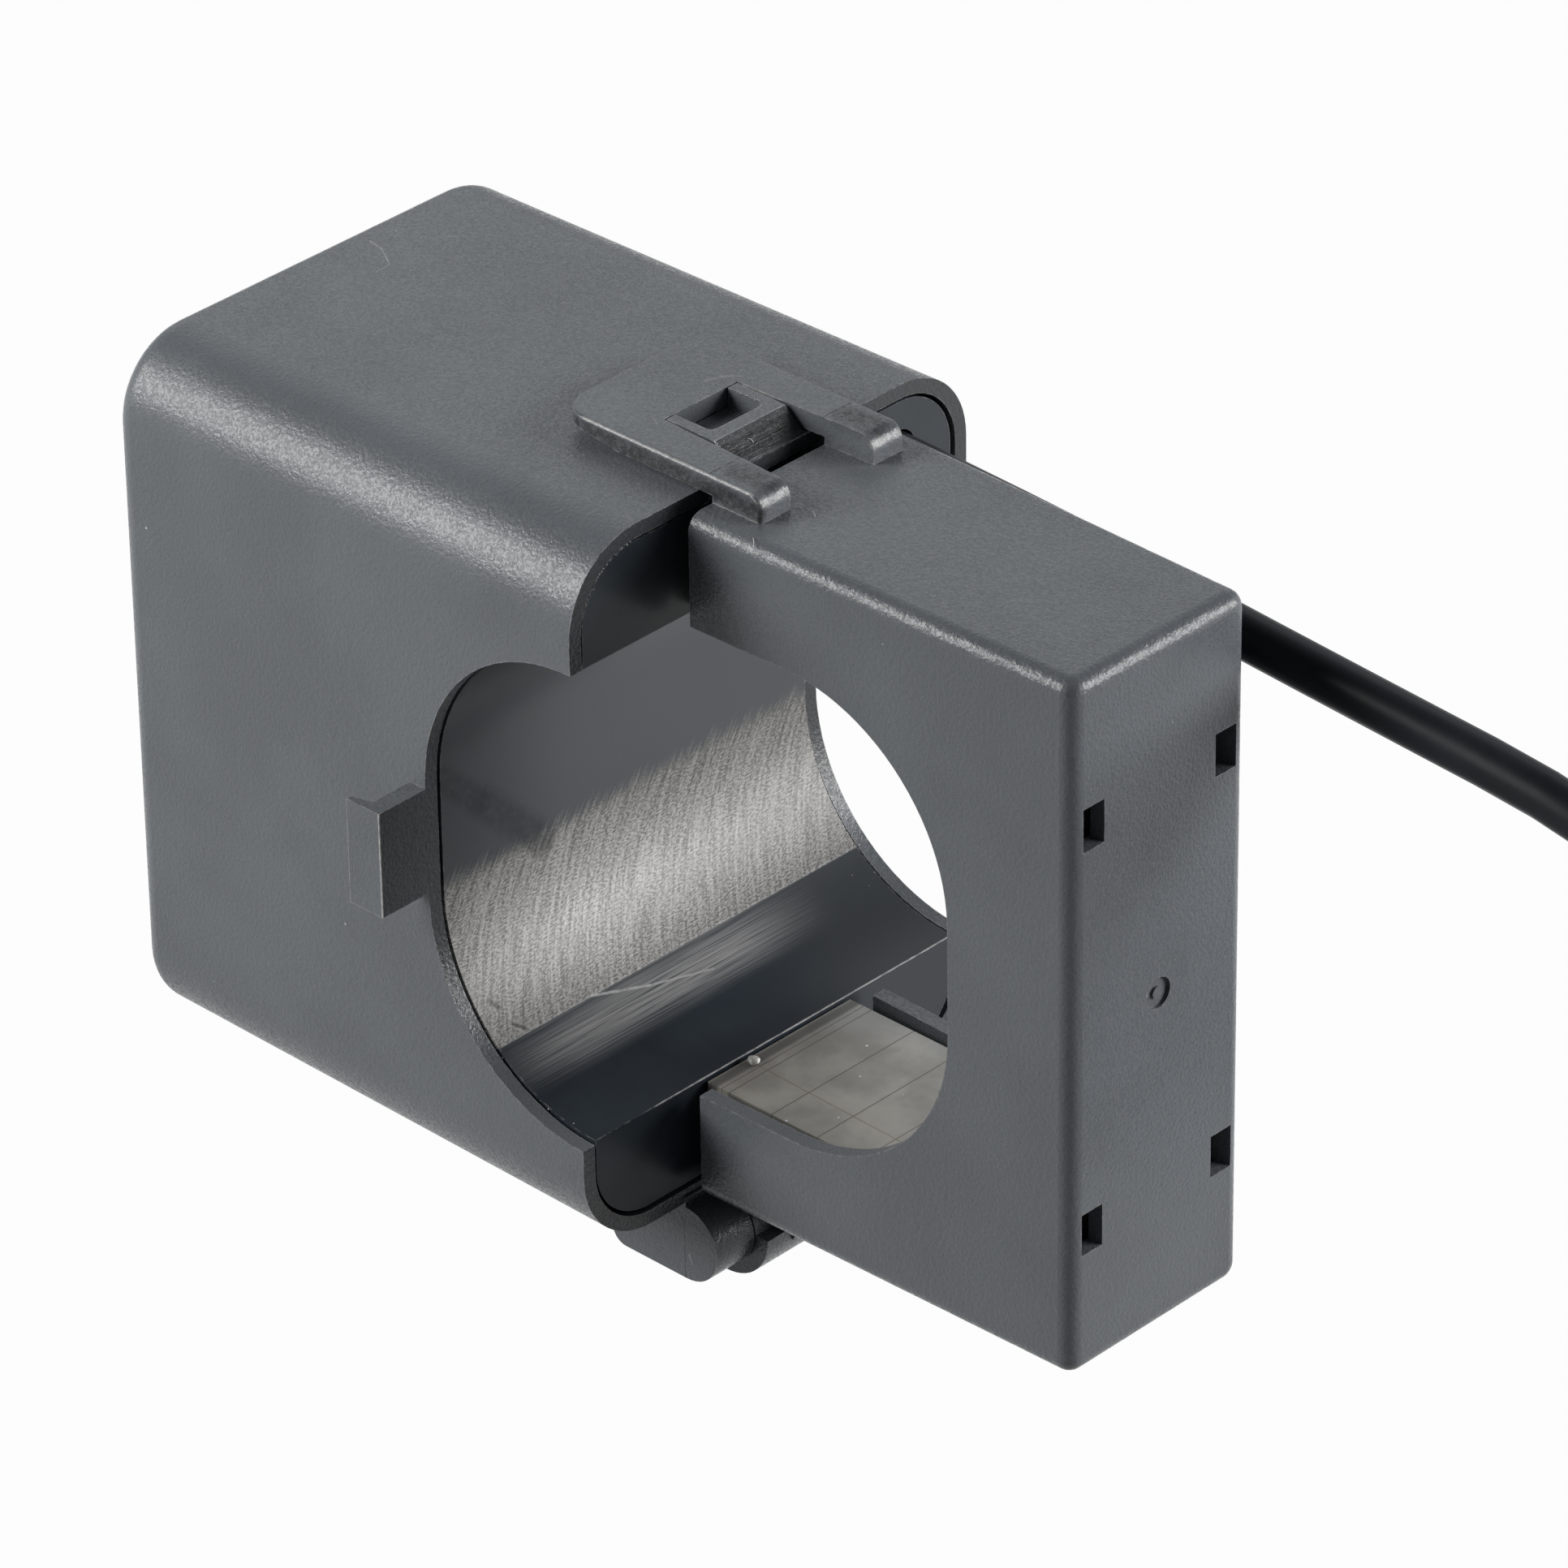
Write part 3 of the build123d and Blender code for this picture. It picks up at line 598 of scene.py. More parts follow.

# %% [markdown]
# The bore inside the housing tells how its tool was made. Its upper part is smooth, then a wide band
# carries the passes of a milling cutter, and below a sharp straight line the plastic is smooth and dark
# again, with rubbed streaks along the conductor. Light is painted into it as well: the band's silver is
# partly the paler milled plastic and partly a painted highlight, brightest 7 mm round the arc and
# towards the front, whose fading gives the band its ragged upper edge; the smooth upper part carries a
# painted reflection, weaker towards the front; and the smooth part below the band is painted lighter
# towards the back. The pattern is drawn in the bore's own measures: along the conductor, and round the
# arc from its deepest line.

# %% Milled bore
BORE_CENTRE = (-0.1, -4.6)
BORE_R = 14.7
MILLED_END = math.radians(48.9) * BORE_R  # this and the next two in millimetres round the arc
# the middle of the milled band's painted highlight
PAINTED_HIGHLIGHT_MIDDLE = 7.0
RUBBED = 14.6
# tone of the painted reflection on the smooth upper bore
PAINTED_REFLECTION_TONE = (0.047, 0.051, 0.057)
# tone of the painted light on the smooth bore below the band, towards the back
PAINTED_LIGHT_BELOW_BAND = (0.042, 0.046, 0.051)
WINDOW_EDGE = 19.15  # how far the window's upper and lower edges are from its middle

liner_strokes = [
    # a painted shadow: the dark stripe across the smooth part
    ((-14.65, -18.4, 4.6), (-14.65, -14.5, 1.0), 3.0, (0.009, 0.011, 0.015), 0.7),
    ((-14.65, -14.5, 1.0), (-14.64, -8.6, -4.8), 3.6, (0.009, 0.011, 0.015), 0.65),
    # the pale scratch below the band
    ((-9.66, -9.05, -15.56), (-8.56, -4.28, -16.43), 0.3, 0.36, 0.85),
    ((-8.56, -4.28, -16.43), (-7.5, 1.12, -17.12), 0.24, 0.33, 0.75),
    # two dark blotches at the band's front end
    ((-11.89, -17.1, -13.12), (-11.42, -16.6, -13.73), 0.55, 0.01, 0.85),
    ((-10.39, -16.2, -14.88), (-9.8, -15.4, -15.41), 0.4, 0.01, 0.9),
    # bright lower and upper edges
    ((-0.2, -12.5, -WINDOW_EDGE), (-0.2, 19.0, -WINDOW_EDGE), 0.22, 0.5, 0.75),
    ((-0.2, -19.5, WINDOW_EDGE), (-0.2, -8.0, WINDOW_EDGE), 0.16, 0.2, 0.5),
]


def bore_measures(tree, place):
    """The place along the conductor and round the arc, in millimetres, and where the bore is."""
    axes = add_node(tree, "ShaderNodeSeparateXYZ", Vector=place).outputs
    side = times(tree, calc(tree, "SUBTRACT", axes["X"], BORE_CENTRE[0] * MM), -1000.0)
    drop = times(tree, calc(tree, "SUBTRACT", axes["Z"], BORE_CENTRE[1] * MM), -1000.0)
    along = times(tree, axes["Y"], 1000.0)
    arc = times(tree, calc(tree, "ARCTAN2", drop, side), BORE_R)
    rise = times(tree, calc(tree, "ABSOLUTE", axes["Z"]), 1000.0)
    rise = calc(tree, "MAXIMUM", calc(tree, "ADD", rise, BORE_CENTRE[1]), 0.0)
    squares = calc(tree, "ADD", times(tree, side, side), times(tree, rise, rise))
    reach = calc(tree, "SQRT", squares)
    on_bore = times(tree, fade(tree, reach, BORE_R + 1.6, BORE_R + 0.5),
                    calc(tree, "GREATER_THAN", side, 0.3))
    return along, arc, on_bore


def bore_noise(tree, x, x_scale, y, y_scale, detail, rough):
    """Noise over two measures of the bore, each stretched by its own scale."""
    place = add_node(tree, "ShaderNodeCombineXYZ", X=times(tree, x, x_scale), Y=times(tree, y, y_scale))
    return noise(tree, place.outputs[0], 1.0, detail, rough)


def milled_band(tree, along, arc, on_bore, silver):
    """The cutter's passes: where they are, their colour with its painted highlight, and how high they stand.
    """
    slanted = calc(tree, "MULTIPLY_ADD", arc, 0.6, along)
    columns = bore_noise(tree, slanted, 2.6, arc, 0.25, 3.0, 0.65)
    ripples = bore_noise(tree, slanted, 3.2, arc, 7.5, 2.0, 0.6)
    ragged = calc(tree, "MULTIPLY_ADD", calc(tree, "SUBTRACT", columns, 0.5), 3.4, arc)
    band = times(tree, fade(tree, ragged, -1.3, 0.9),
                 fade(tree, arc, MILLED_END + 0.12, MILLED_END - 0.12), on_bore)
    cut = calc(tree, "ADD", times(tree, columns, 0.4), times(tree, ripples, 0.6))
    # painted highlight: the band's tone is brightest 7 mm round the arc and brighter towards the front
    middle = calc(tree, "SUBTRACT", 1.0, times(tree, away_from(tree, arc, PAINTED_HIGHLIGHT_MIDDLE), 0.055))
    front = calc(tree, "MULTIPLY_ADD", along, -0.01, 1.0)
    tone = mottled(tree, cut, silver, 0.3, 1.45, 0.37, 0.63)
    return band, blend(tree, 1.0, tone, times(tree, middle, front), "MULTIPLY"), cut


def rubbed_streaks(tree, along, arc, on_bore):
    """Fine streaks along the conductor, strongest in the middle of the rubbed part."""
    streaks = bore_noise(tree, along, 0.11, arc, 8.0, 4.0, 0.6)
    return times(tree, fade(tree, away_from(tree, arc, RUBBED), 2.9, 0.2), fade(tree, streaks, 0.22, 0.66),
                 fade(tree, away_from(tree, along, -4.0), 18.0, 6.0), on_bore)


def milled_plastic(name, colour, silver, rough):
    """The liner's finish: smooth plastic with one milled band round the lower arc of the bore, and painted
    light on both.
    """
    material, tree, shader, place = new_surface(name)
    along, arc, on_bore = bore_measures(tree, place)
    below = fade(tree, arc, MILLED_END - 0.2, MILLED_END + 0.4)
    feed(tree, shader.inputs["Specular IOR Level"], calc(tree, "MULTIPLY_ADD", below, -0.22, 0.35))
    base = mottled(tree, noise(tree, place, 70.0, 4.0, 0.6), colour, 0.8, 1.25)
    # painted reflection: the smooth upper bore is lighter, less so towards the front
    painted_reflection_share = calc(tree, "MULTIPLY_ADD", fade(tree, along, -18.0, -5.0), 0.6, 0.4)
    base = blend(tree, times(tree, on_bore, fade(tree, arc, 10.0, 4.0), painted_reflection_share), base, PAINTED_REFLECTION_TONE)
    # painted light: below the band the smooth bore is lighter towards the back
    base = blend(tree, times(tree, below, fade(tree, along, 0.0, 13.0), 0.8), base, PAINTED_LIGHT_BELOW_BAND)
    base = blend(tree, times(tree, rubbed_streaks(tree, along, arc, on_bore), 0.9), base, 0.27)
    band, cut_tone, cut = milled_band(tree, along, arc, on_bore, silver)
    base = blend(tree, band, base, cut_tone)
    base = add_strokes(tree, wobble(tree, place, 0.04, 700.0), base, liner_strokes)
    base = blend(tree, times(tree, edge_wear(tree, place), 0.6), base, 0.28)
    base = blend(tree, times(tree, dust_mask(tree, place, 500.0, 0.08, 0.04), 0.7), base, 0.4)
    fine = noise(tree, place, 2600.0, 2.0, 0.6)
    gloss = calc(tree, "MULTIPLY_ADD", band, 0.1, uneven_gloss(tree, fine, rough, 0.12))
    passes = add_node(tree, "ShaderNodeBump", Strength=0.9, Distance=0.05 * MM, Height=times(tree, cut, band))
    coat(tree, shader, base, gloss, fine, 0.15, 0.04, passes.outputs[0])
    return material


liner_plastic = milled_plastic("liner_plastic", (0.018, 0.0235, 0.03), (0.262, 0.257, 0.248), 0.33)
dress("body_liner", liner_plastic)
print("milled band ends", round(MILLED_END, 2), "mm round the arc")

# %% [markdown]
# The core half in the jaw is a stack of thin coated steel strip, ground flat. Its face is a warm satin
# grey with cloudy stains, fine dark lines where strips and tool marks meet, and tiny pale specks. The
# lines run along the conductor, so they are strokes flattened onto the face.

# %% Core steel
LINE_TONE = (0.06, 0.05, 0.04)
CORE_MARKS = [((x, -7.4, 0), (x, 7.4, 0), width, LINE_TONE, strength) for x, width, strength in (
    (1.4, 0.14, 0.7), (2.15, 0.13, 0.8), (6.3, 0.14, 0.85), (10.7, 0.16, 0.8), (14.9, 0.14, 0.8))]
CORE_MARKS += [
    # a rusty line across the strips, and the shaded edge under the glue
    ((0.5, -3.4, 0), (20.0, -3.9, 0), 0.16, (0.12, 0.085, 0.05), 0.55),
    ((0.6, -8.0, 0), (0.6, 8.0, 0), 1.3, (0.045, 0.043, 0.04), 0.75),
]


def strip_steel(name, colour, rough):
    """Ground strip steel with stains and fine lines along Y."""
    material, tree, shader, place = new_surface(name, Metallic=0.3)
    clouds = noise(tree, wobble(tree, place, 1.5, 120.0), 160.0, 4.0, 0.6)
    base = mottled(tree, clouds, colour, 0.74, 1.12, 0.35, 0.65)
    pale = fade(tree, noise(tree, place, 60.0, 3.0, 0.5), 0.52, 0.68)
    base = blend(tree, times(tree, pale, 0.4), base, (0.33, 0.34, 0.34))
    flat = vector_calc(tree, "MULTIPLY", wobble(tree, place, 0.04), (1.0, 1.0, 0.0))
    for start, end, width, tone, strength in CORE_MARKS:
        base = blend(tree, times(tree, stroke(tree, flat, start, end, width), strength), base, tone)
    base = blend(tree, times(tree, dust_mask(tree, place, 800.0, 0.14, 0.11), 0.9), base, 0.6)
    brushed = add_node(tree, "ShaderNodeMapping", Vector=place, Scale=(4000.0, 260.0, 4000.0)).outputs[0]
    lay = noise(tree, brushed, 1.0, 2.0, 0.6)
    coat(tree, shader, base, uneven_gloss(tree, lay, rough, 0.2), lay, 0.12, 0.02)
    return material


core_steel = strip_steel("core_steel", (0.268, 0.257, 0.233), 0.36)
dress("body_core", core_steel)
dress("jaw_core", core_steel)
print("core marks", len(CORE_MARKS))

# %% [markdown]
# The cable's jacket is soft extruded plastic. Handling leaves dull patches on it, so its roughness
# varies as much as its colour. The spline has no useful texture map of its own, so the patches and the
# fine grain come from noise in the object's own space.

# %% Cable jacket
CABLE_MARKS = [
    ((50.4, 12.2, 20.1), (51.2, 12.0, 19.8), 0.4, 0.14, 0.8),
    ((51.0, 12.1, 19.7), (51.6, 12.0, 19.4), 0.25, 0.1, 0.7),
]


def extruded_jacket(name, colour, rough):
    """Satin cable jacket with dull patches and one small pale rub mark."""
    material, tree, shader, place = new_surface(name)
    shader.inputs["Specular IOR Level"].default_value = 0.14
    patches = noise(tree, place, 140.0, 4.0, 0.6)
    fine = noise(tree, place, 2200.0, 2.0, 0.6)
    base = add_strokes(tree, place, mottled(tree, patches, colour, 0.8, 1.3), CABLE_MARKS)
    base = blend(tree, times(tree, dust_mask(tree, place, 500.0, 0.06, 0.05), 0.7), base, 0.3)
    coat(tree, shader, base, uneven_gloss(tree, patches, rough, 0.2), fine, 0.12, 0.04)
    return material


cable_curve.materials.append(extruded_jacket("cable_jacket", (0.011, 0.0125, 0.0155), 0.46))
print("cable jacket done")

# %% [markdown]
# Inside the housing sit the parts that nobody sees until it is opened: nylon, foam, film tape, sleeves
# and small wires. They are short runs of one material each, so one function with a few settings gives
# them their grain, their lengthwise lines or their laps.

# %% Inner finishes
def small_part(name, colour, rough, metal=0.0, scale=300.0, amount=0.12, relief=0.04, stretch=(1, 1, 1)):
    """A finish with mottled colour, uneven gloss and a fine relief; stretch draws the pattern out."""
    material, tree, shader, place = new_surface(name, Metallic=metal)
    drawn = add_node(tree, "ShaderNodeMapping", Vector=place, Scale=stretch).outputs[0]
    mottle = noise(tree, drawn, scale, 4.0, 0.6)
    fine = noise(tree, drawn, scale * 6, 2.0, 0.6)
    worn = tuple(min(c * 1.5 + 0.05, 1.0) for c in colour)
    base = mottled(tree, mottle, colour, 1 - amount, 1 + amount)
    base = blend(tree, times(tree, edge_wear(tree, place), 0.25), base, worn)
    coat(tree, shader, base, uneven_gloss(tree, mottle, rough, 0.16), fine, 0.4, relief)
    return material


finishes = {
    "former_plastic": small_part("former_nylon", (0.72, 0.7, 0.62), 0.4),
    "winding_copper": small_part("enamelled_copper", (0.52, 0.2, 0.07), 0.26, metal=0.85, scale=500.0),
    "winding_tape": small_part("film_tape", (0.68, 0.42, 0.05), 0.22, scale=220.0, amount=0.18, relief=0.08,
                               stretch=(1, 1, 6)),
    "pad_foam": small_part("closed_cell_foam", (0.03, 0.03, 0.032), 0.85, scale=700.0, amount=0.4,
                           relief=0.2),
    "light_insulation": small_part("light_insulation", (0.74, 0.74, 0.71), 0.38),
    "dark_insulation": small_part("dark_insulation", (0.02, 0.02, 0.022), 0.38),
    "sleeve_rubber": small_part("shrink_sleeve", (0.015, 0.015, 0.016), 0.5, scale=500.0, amount=0.3,
                                relief=0.06),
    "tie_nylon": small_part("tie_nylon", (0.7, 0.69, 0.62), 0.36),
    "pin_steel": small_part("pin_steel", (0.52, 0.52, 0.51), 0.3, metal=1.0, scale=200.0, amount=0.1,
                            relief=0.02, stretch=(8, 1, 8)),
    "coil_tie": small_part("coated_tie", (0.02, 0.02, 0.022), 0.35, scale=400.0, amount=0.3, relief=0.06),
    "tinned_wire": small_part("tinned_strands", (0.66, 0.66, 0.65), 0.3, metal=1.0, scale=900.0, amount=0.2,
                              relief=0.12, stretch=(1, 6, 6)),
}
for part_row in frame["record"]["subparts"]:
    if part_row["material_slot"] in finishes:
        dress(part_row["node"], finishes[part_row["material_slot"]])
print("dressed", len(nodes), "nodes")

# %% [markdown]
# What repeats is grown by Geometry Nodes. Every tree takes named sizes, a seed where anything is left
# to chance, and ends in real mesh with its material. One helper runs a tree on a small carrier, takes
# the finished mesh, and throws the carrier away, so the piece that stays is plain.

# %% Growing helpers
def shape_tree(name, numbers):
    """An empty shape tree with named inputs, its input sockets and its output node."""
    tree = bpy.data.node_groups.new(name, "GeometryNodeTree")
    tree.interface.new_socket("Path", in_out="INPUT", socket_type="NodeSocketGeometry")
    for label, kind in numbers:
        tree.interface.new_socket(label, in_out="INPUT", socket_type="NodeSocket" + kind)
    tree.interface.new_socket("Shape", in_out="OUTPUT", socket_type="NodeSocketGeometry")
    return tree, tree.nodes.new("NodeGroupInput").outputs, tree.nodes.new("NodeGroupOutput").inputs


def chance(tree, kind, low, high, seed):
    """A random value between low and high for each point, a number or a vector."""
    node = tree.nodes.new("FunctionNodeRandomValue")
    node.data_type = kind
    first = 0 if kind == "FLOAT_VECTOR" else 2
    feed(tree, node.inputs[first], low)
    feed(tree, node.inputs[first + 1], high)
    feed(tree, node.inputs["Seed"], seed)
    return node.outputs[0 if kind == "FLOAT_VECTOR" else 1]


def finish_tree(tree, result, instances, material):
    """Turns instances into mesh, gives it its material and ends the tree."""
    real = add_node(tree, "GeometryNodeRealizeInstances", Geometry=instances)
    coated = add_node(tree, "GeometryNodeSetMaterial", Geometry=real.outputs[0], Material=material)
    feed(tree, result["Shape"], coated.outputs[0])


def own_piece(name, mesh, body):
    """Adds a mesh to the scene as a piece that rides on a body."""
    piece = add_object(name, mesh)
    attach(piece, body)
    return piece


def taken_mesh(name, carrier):
    """The finished mesh of a carrier object, which is then thrown away."""
    seen_by = bpy.context.evaluated_depsgraph_get()
    mesh = bpy.data.meshes.new_from_object(carrier.evaluated_get(seen_by), depsgraph=seen_by)
    bpy.data.objects.remove(carrier)
    mesh.name = name
    print(name, "faces", len(mesh.polygons))
    return mesh


def grow(name, tree, values, body, path=()):
    """Runs a shape tree on a path of points in millimetres and keeps the finished mesh."""
    seed_mesh = bpy.data.meshes.new(name + "_path")
    points = [Vector(p) * MM for p in path]
    seed_mesh.from_pydata(points, [(k, k + 1) for k in range(len(points) - 1)], [])
    carrier = add_object(name + "_carrier", seed_mesh)
    modifier = carrier.modifiers.new("grow", "NODES")
    modifier.node_group = tree
    for item in tree.interface.items_tree:
        if item.in_out == "INPUT" and item.name in values:
            modifier[item.identifier] = values[item.name]
    return own_piece(name, taken_mesh(name, carrier), body)


# %% [markdown]
# The secondary winding is hundreds of turns of fine enamelled wire. A plain ring would hide that, so
# one turn is drawn as a rectangle with cut corners, swept with the wire's section, and repeated down the
# former; a second, smaller layer closes the gaps between the turns of the first.

# %% Wire turns
WIRE_D = 0.42
WIRE_LAYERS = 2
PITCH = 1.04  # from turn to turn, in wire diameters
LAYER_STEP = 0.9  # from layer to layer, in wire diameters
CORNER_R = 3.4


def wire_turns_tree(material):
    """Turns of wire stacked along Z."""
    tree, given, result = shape_tree("wire_turns", [
        ("Depth", "Float"), ("Width", "Float"), ("Corner", "Float"), ("Wire radius", "Float"),
        ("Turns", "Int"), ("Pitch", "Float"), ("Place", "Vector")])
    turn = add_node(tree, "GeometryNodeCurvePrimitiveQuadrilateral", Width=given["Depth"],
                    Height=given["Width"])
    corner = add_node(tree, "GeometryNodeFilletCurve", mode="POLY", Curve=turn.outputs[0],
                      Radius=given["Corner"], Count=1)
    section = add_node(tree, "GeometryNodeCurvePrimitiveCircle", Resolution=6, Radius=given["Wire radius"])
    wire = tree.nodes.new("GeometryNodeCurveToMesh")
    feed(tree, wire.inputs["Curve"], corner.outputs[0])
    feed(tree, wire.inputs["Profile Curve"], section.outputs[0])
    step = add_node(tree, "ShaderNodeCombineXYZ", Z=given["Pitch"])
    stack = add_node(tree, "GeometryNodeMeshLine", Count=given["Turns"])
    feed(tree, stack.inputs["Start Location"], given["Place"])
    feed(tree, stack.inputs["Offset"], step.outputs[0])
    copies = add_node(tree, "GeometryNodeInstanceOnPoints", Points=stack.outputs[0], Instance=wire.outputs[0])
    finish_tree(tree, result, copies.outputs[0], material)
    return tree


turns_tree = wire_turns_tree(finishes["winding_copper"])
low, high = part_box("secondary_winding")
centre = [(a + b) / 2 for a, b in zip(low, high)]
layer_pieces = []
for layer in range(WIRE_LAYERS):
    inset = WIRE_D * MM * (0.5 + layer * LAYER_STEP)
    span = high[2] - low[2] - WIRE_D * MM * (PITCH + layer)
    count = int(span / (WIRE_D * PITCH * MM))
    layer_pieces.append(grow("wire_turns_%d" % (layer + 1), turns_tree, {
        "Depth": high[0] - low[0] - 2 * inset, "Width": high[1] - low[1] - 2 * inset,
        "Corner": CORNER_R * MM - inset, "Wire radius": WIRE_D / 2 * MM, "Turns": count + 1,
        "Pitch": span / count, "Place": (centre[0], centre[1], centre[2] - span / 2)},
        "housing"))
for piece in layer_pieces:
    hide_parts("secondary_winding")

# %% [markdown]
# Where a cutter or a worn tool edge has left the plastic torn, it shows as a row of tiny bright crumbs:
# on the edge of the jaw's gap, at both ends of the milled band, and round the catch's pocket and ramp.
# They are far too many to place by hand, so a tree strews small faceted lumps along a path.

# %% Torn edges
FULL_TURN = 6.28  # in radians


def crumb_tree(material):
    """Small faceted lumps strewn along the path, each with its own turn and size."""
    tree, given, result = shape_tree("crumbs_on_path", [("Count", "Int"), ("Size", "Float"),
                                                        ("Spread", "Vector"), ("Seed", "Int")])
    line = add_node(tree, "GeometryNodeMeshToCurve", Mesh=given["Path"])
    points = add_node(tree, "GeometryNodeCurveToPoints", mode="COUNT", Curve=line.outputs[0],
                      Count=given["Count"])
    spread_low = vector_calc(tree, "MULTIPLY", given["Spread"], (-1.0, -1.0, -1.0))
    shift = chance(tree, "FLOAT_VECTOR", spread_low, given["Spread"], given["Seed"])
    strewn = add_node(tree, "GeometryNodeSetPosition", Geometry=points.outputs[0], Offset=shift)
    lump = add_node(tree, "GeometryNodeMeshIcoSphere", Radius=1.0, Subdivisions=1)
    turns = chance(tree, "FLOAT_VECTOR", (0, 0, 0), (FULL_TURN, FULL_TURN, FULL_TURN),
                   calc(tree, "ADD", given["Seed"], 7.0))
    sizes = chance(tree, "FLOAT_VECTOR", (0.25, 0.25, 0.25), (1.0, 1.0, 1.0),
                   calc(tree, "ADD", given["Seed"], 13.0))
    copies = add_node(tree, "GeometryNodeInstanceOnPoints", Points=strewn.outputs[0],
                      Instance=lump.outputs[0], Rotation=turns, Scale=drawn_out(tree, sizes, given["Size"]))
    finish_tree(tree, result, copies.outputs[0], material)
    return tree


def arc_path(centre, radius, start_deg, end_deg, x=None, y=None, steps=14):
    """Points on an arc in a plane of constant X (round Y, Z) or of constant Y (round X, Z)."""
    points = []
    for k in range(steps + 1):
        angle = math.radians(start_deg + (end_deg - start_deg) * k / steps)
        u, v = centre[0] + radius * math.cos(angle), centre[1] + radius * math.sin(angle)
        points.append((x, u, v) if y is None else (u, y, v))
    return points


torn_plastic = small_part("torn_plastic", (0.2, 0.2, 0.2), 0.35, scale=3000.0, amount=0.5)
crumbs = crumb_tree(torn_plastic)
TORN_EDGES = [  # name, slot, count, size and spread in millimetres, seed, path
    ("torn_gap_edge", "housing_plastic", 46, 0.09, (0.05, 0.1, 0.1), 3,
     arc_path((-13.15, 21.8), 5.45, 170, 95, x=-0.05)),
    ("torn_bore_end", "liner_plastic", 240, 0.085, (0.08, 1.1, 0.08), 5,
     arc_path(BORE_CENTRE, BORE_R - 0.02, 226, 250, y=17.4)),
    ("torn_bore_front", "liner_plastic", 26, 0.12, (0.1, 0.3, 0.1), 9,
     arc_path(BORE_CENTRE, BORE_R - 0.02, 218, 262, y=-18.2)),
    ("torn_pocket_edge", "housing_plastic", 16, 0.1, (0.05, 0.05, 0.04), 11,
     [(-6.3, 2.66, 30.13), (-3.1, 2.66, 30.13)]),
    ("torn_ramp_edge", "housing_plastic", 30, 0.11, (0.12, 0.1, 0.06), 17,
     [(-1.95, -3.45, 30.1), (-0.4, -3.45, 28.75)]),
]
for name, slot, count, size, spread, seed, path in TORN_EDGES:
    grow(name, crumbs, {"Count": count, "Size": size * MM, "Spread": scaled(spread, MM), "Seed": seed},
         "housing", path)

# %% [markdown]
# The catch's ramp was ground by hand in the tool, which leaves about twenty fine ridges across it. They
# are thin four-sided bars, half sunk in the ramp, repeated down its slope. They are dark with painted
# shade, a fifth of the resin's tone, like the painted shadow on the ramp under them.

# %% Ramp ridges
RAMP_TOP = (-1.9, LATCH_Z)
RAMP_FOOT = (-0.1, TOP_Z)
RIDGES = 20
RAMP_WIDTH = 6.96
RIDGE_R = 0.034


def ridge_tree(material):
    """Thin bars along Y, repeated from one point to another, each a little different in size."""
    tree, given, result = shape_tree("ridges_on_ramp", [
        ("Count", "Int"), ("Length", "Float"), ("Radius", "Float"), ("Start", "Vector"), ("Step", "Vector"),
        ("Seed", "Int")])
    line = add_node(tree, "GeometryNodeMeshLine", Count=given["Count"])
    feed(tree, line.inputs["Start Location"], given["Start"])
    feed(tree, line.inputs["Offset"], given["Step"])
    bar = add_node(tree, "GeometryNodeMeshCylinder", Vertices=4, Radius=given["Radius"],
                   Depth=given["Length"])
    lying = add_node(tree, "GeometryNodeTransform", Geometry=bar.outputs[0],
                     Rotation=(math.radians(90), 0, 0))
    sizes = chance(tree, "FLOAT_VECTOR", (0.6, 0.97, 0.6), (1.3, 1.0, 1.3), given["Seed"])
    copies = add_node(tree, "GeometryNodeInstanceOnPoints", Points=line.outputs[0],
                      Instance=lying.outputs[0], Scale=sizes)
    finish_tree(tree, result, copies.outputs[0], material)
    return tree


# painted shade: the ridges take a fifth of the resin's tone, to match the painted shadow on the ramp
ramp_painted_shade_plastic = moulded_plastic("ramp_painted_shade_plastic", scaled(GREY_RESIN, 0.2), 0.5, wear=0.15)
ridges = ridge_tree(ramp_painted_shade_plastic)
step = ((RAMP_FOOT[0] - RAMP_TOP[0]) / (RIDGES + 1), 0.0, (RAMP_FOOT[1] - RAMP_TOP[1]) / (RIDGES + 1))
grow("ramp_ridges", ridges, {"Count": RIDGES, "Length": RAMP_WIDTH * MM, "Radius": RIDGE_R * MM, "Seed": 2,
                             "Start": Vector((RAMP_TOP[0] + step[0], 0.0, RAMP_TOP[1] + step[2])) * MM,
                             "Step": Vector(step) * MM}, "housing")

# %% [markdown]
# A clear bead of glue sits on the core's edge, and a few stray fibres cling to the plastic. The bead is
# a ball pressed flat against the steel and pulled a little to one side; each fibre is a bent hair.

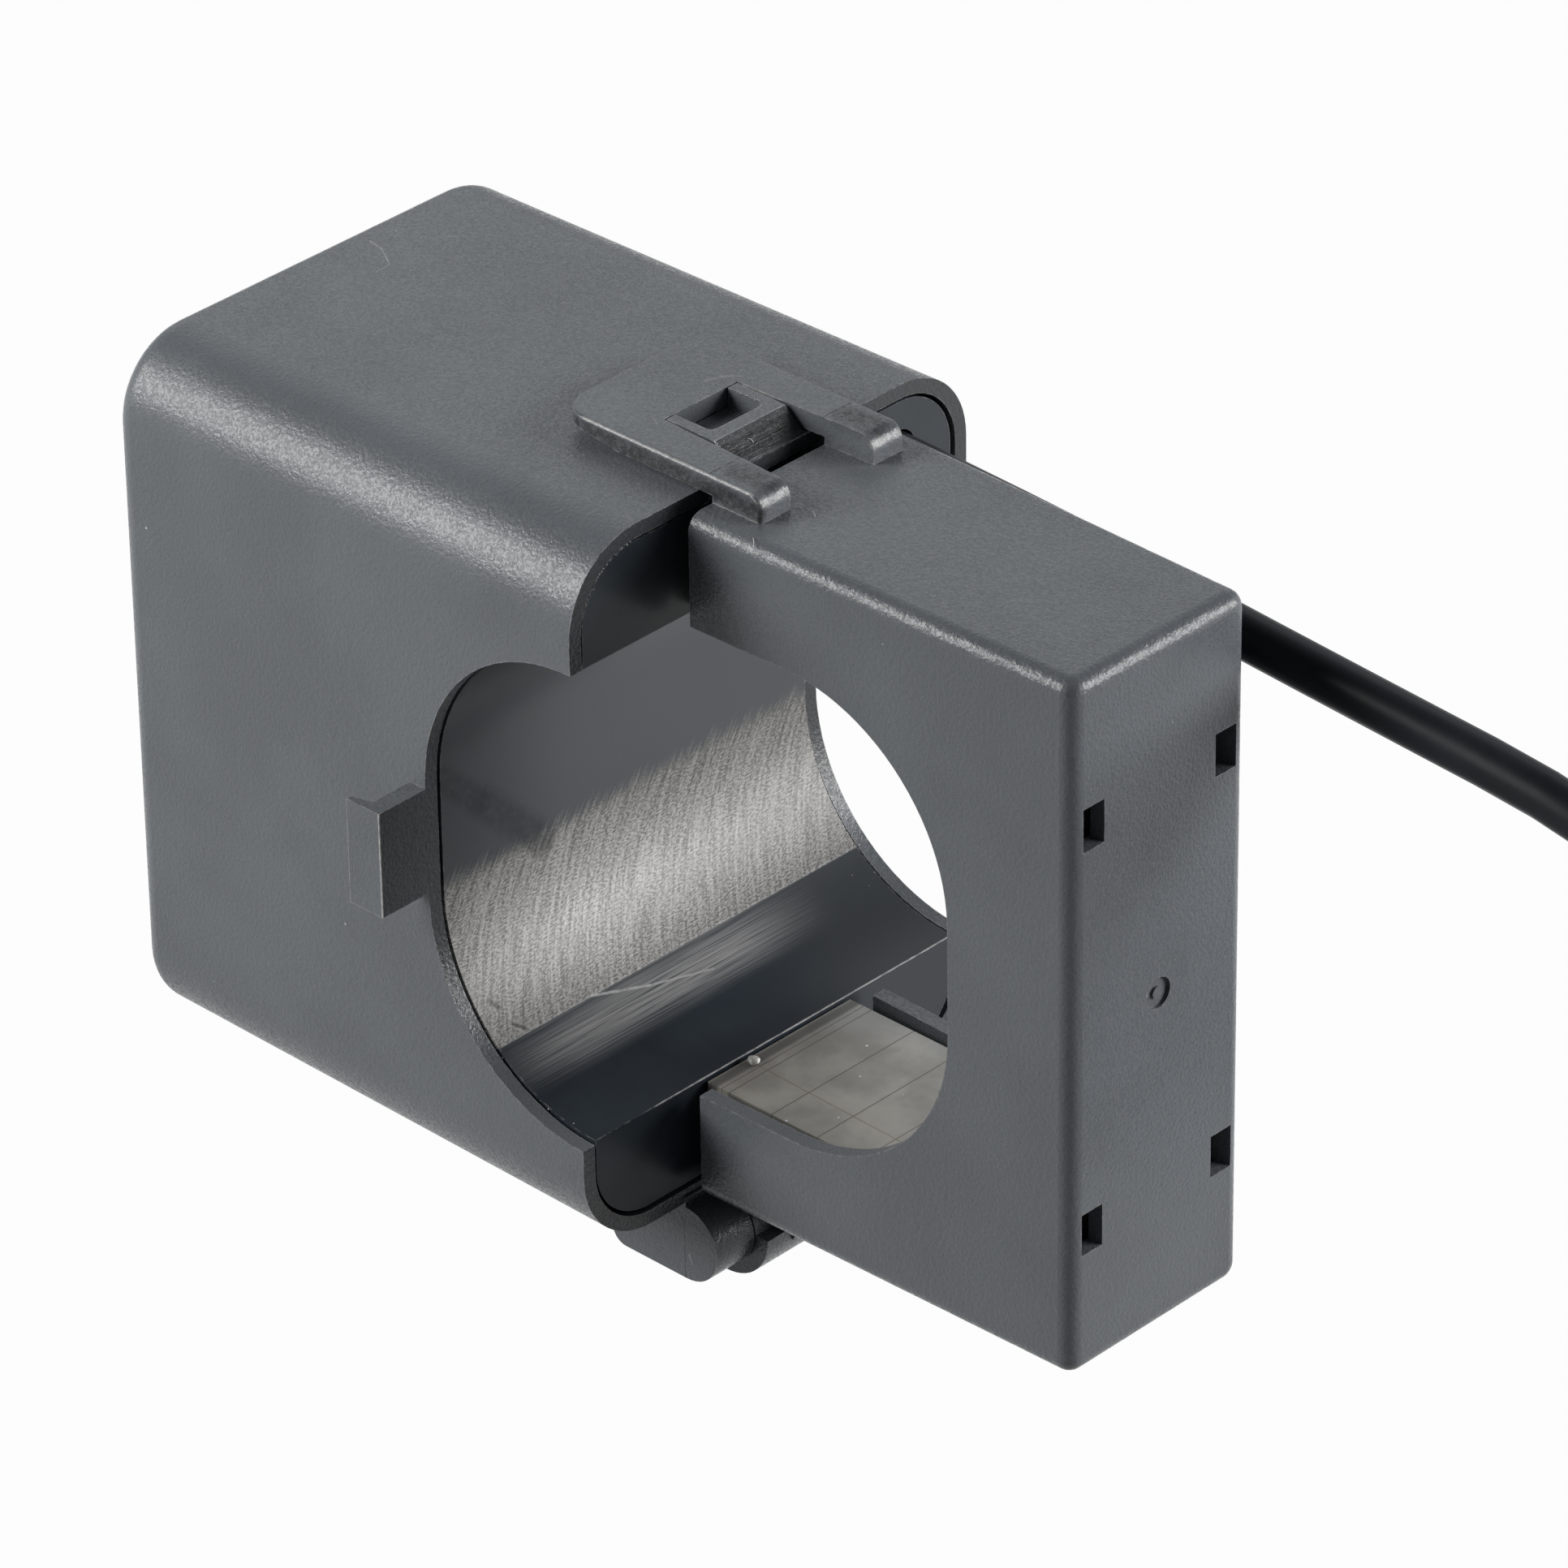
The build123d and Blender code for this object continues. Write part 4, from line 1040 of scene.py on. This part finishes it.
# %% Glue bead and fibres
GLUE_PLACE = (0.75, -3.4, -WINDOW_EDGE)
GLUE_R = 0.42


def clear_glue():
    """Clear cured glue, a little cloudy."""
    material, tree, shader, place = new_surface("clear_glue", IOR=1.47)
    shader.inputs["Transmission Weight"].default_value = 0.6
    cloud = noise(tree, place, 2500.0, 3.0, 0.6)
    feed(tree, shader.inputs["Base Color"], blend(tree, cloud, (0.55, 0.55, 0.52), (0.85, 0.85, 0.82)))
    feed(tree, shader.inputs["Roughness"], calc(tree, "MULTIPLY_ADD", cloud, 0.2, 0.05))
    return material


bead = bmesh.new()
bmesh.ops.create_icosphere(bead, subdivisions=3, radius=GLUE_R * MM)
for corner in bead.verts:
    lean = 1.0 + 0.25 * corner.co.x / (GLUE_R * MM)
    pressed = Vector((corner.co.x * 1.15, corner.co.y * lean, corner.co.z * 0.75))
    corner.co = pressed + Vector(GLUE_PLACE) * MM
for face in bead.faces:
    face.smooth = True
bead_mesh = bpy.data.meshes.new("glue_bead")
bead.to_mesh(bead_mesh)
bead.free()
bead_mesh.materials.append(clear_glue())
own_piece("glue_bead", bead_mesh, "jaw")
pale_fibre = small_part("pale_fibre", (0.5, 0.5, 0.48), 0.5, scale=2000.0, amount=0.2)


def fibre(name, points, thickness, body):
    """A bent hair through points in millimetres."""
    carrier = add_object(name + "_line", smooth_line(name, points, thickness, 1, 4))
    mesh = taken_mesh(name, carrier)
    mesh.materials.clear()
    mesh.materials.append(pale_fibre)
    own_piece(name, mesh, body)


fibre("fibre_on_ramp", [(-1.2, -0.9, 29.53), (-0.95, -0.7, 29.5), (-0.85, -0.75, 29.3)], 0.06, "housing")
fibre("fibre_by_finger", [(6.2, -3.6, 28.08), (6.7, -3.9, 28.25), (7.3, -3.4, 28.3), (7.9, -3.8, 28.08)],
      0.035, "jaw")
fibre("fibre_on_edge", [(6.6, -8.6, 27.95), (7.0, -8.9, 28.1), (7.3, -9.3, 27.8)], 0.035, "jaw")
print("small pieces done")

# %% [markdown]
# Last, the view settings stay plain.

# %% Finish
bpy.context.scene.view_settings.view_transform = "Standard"
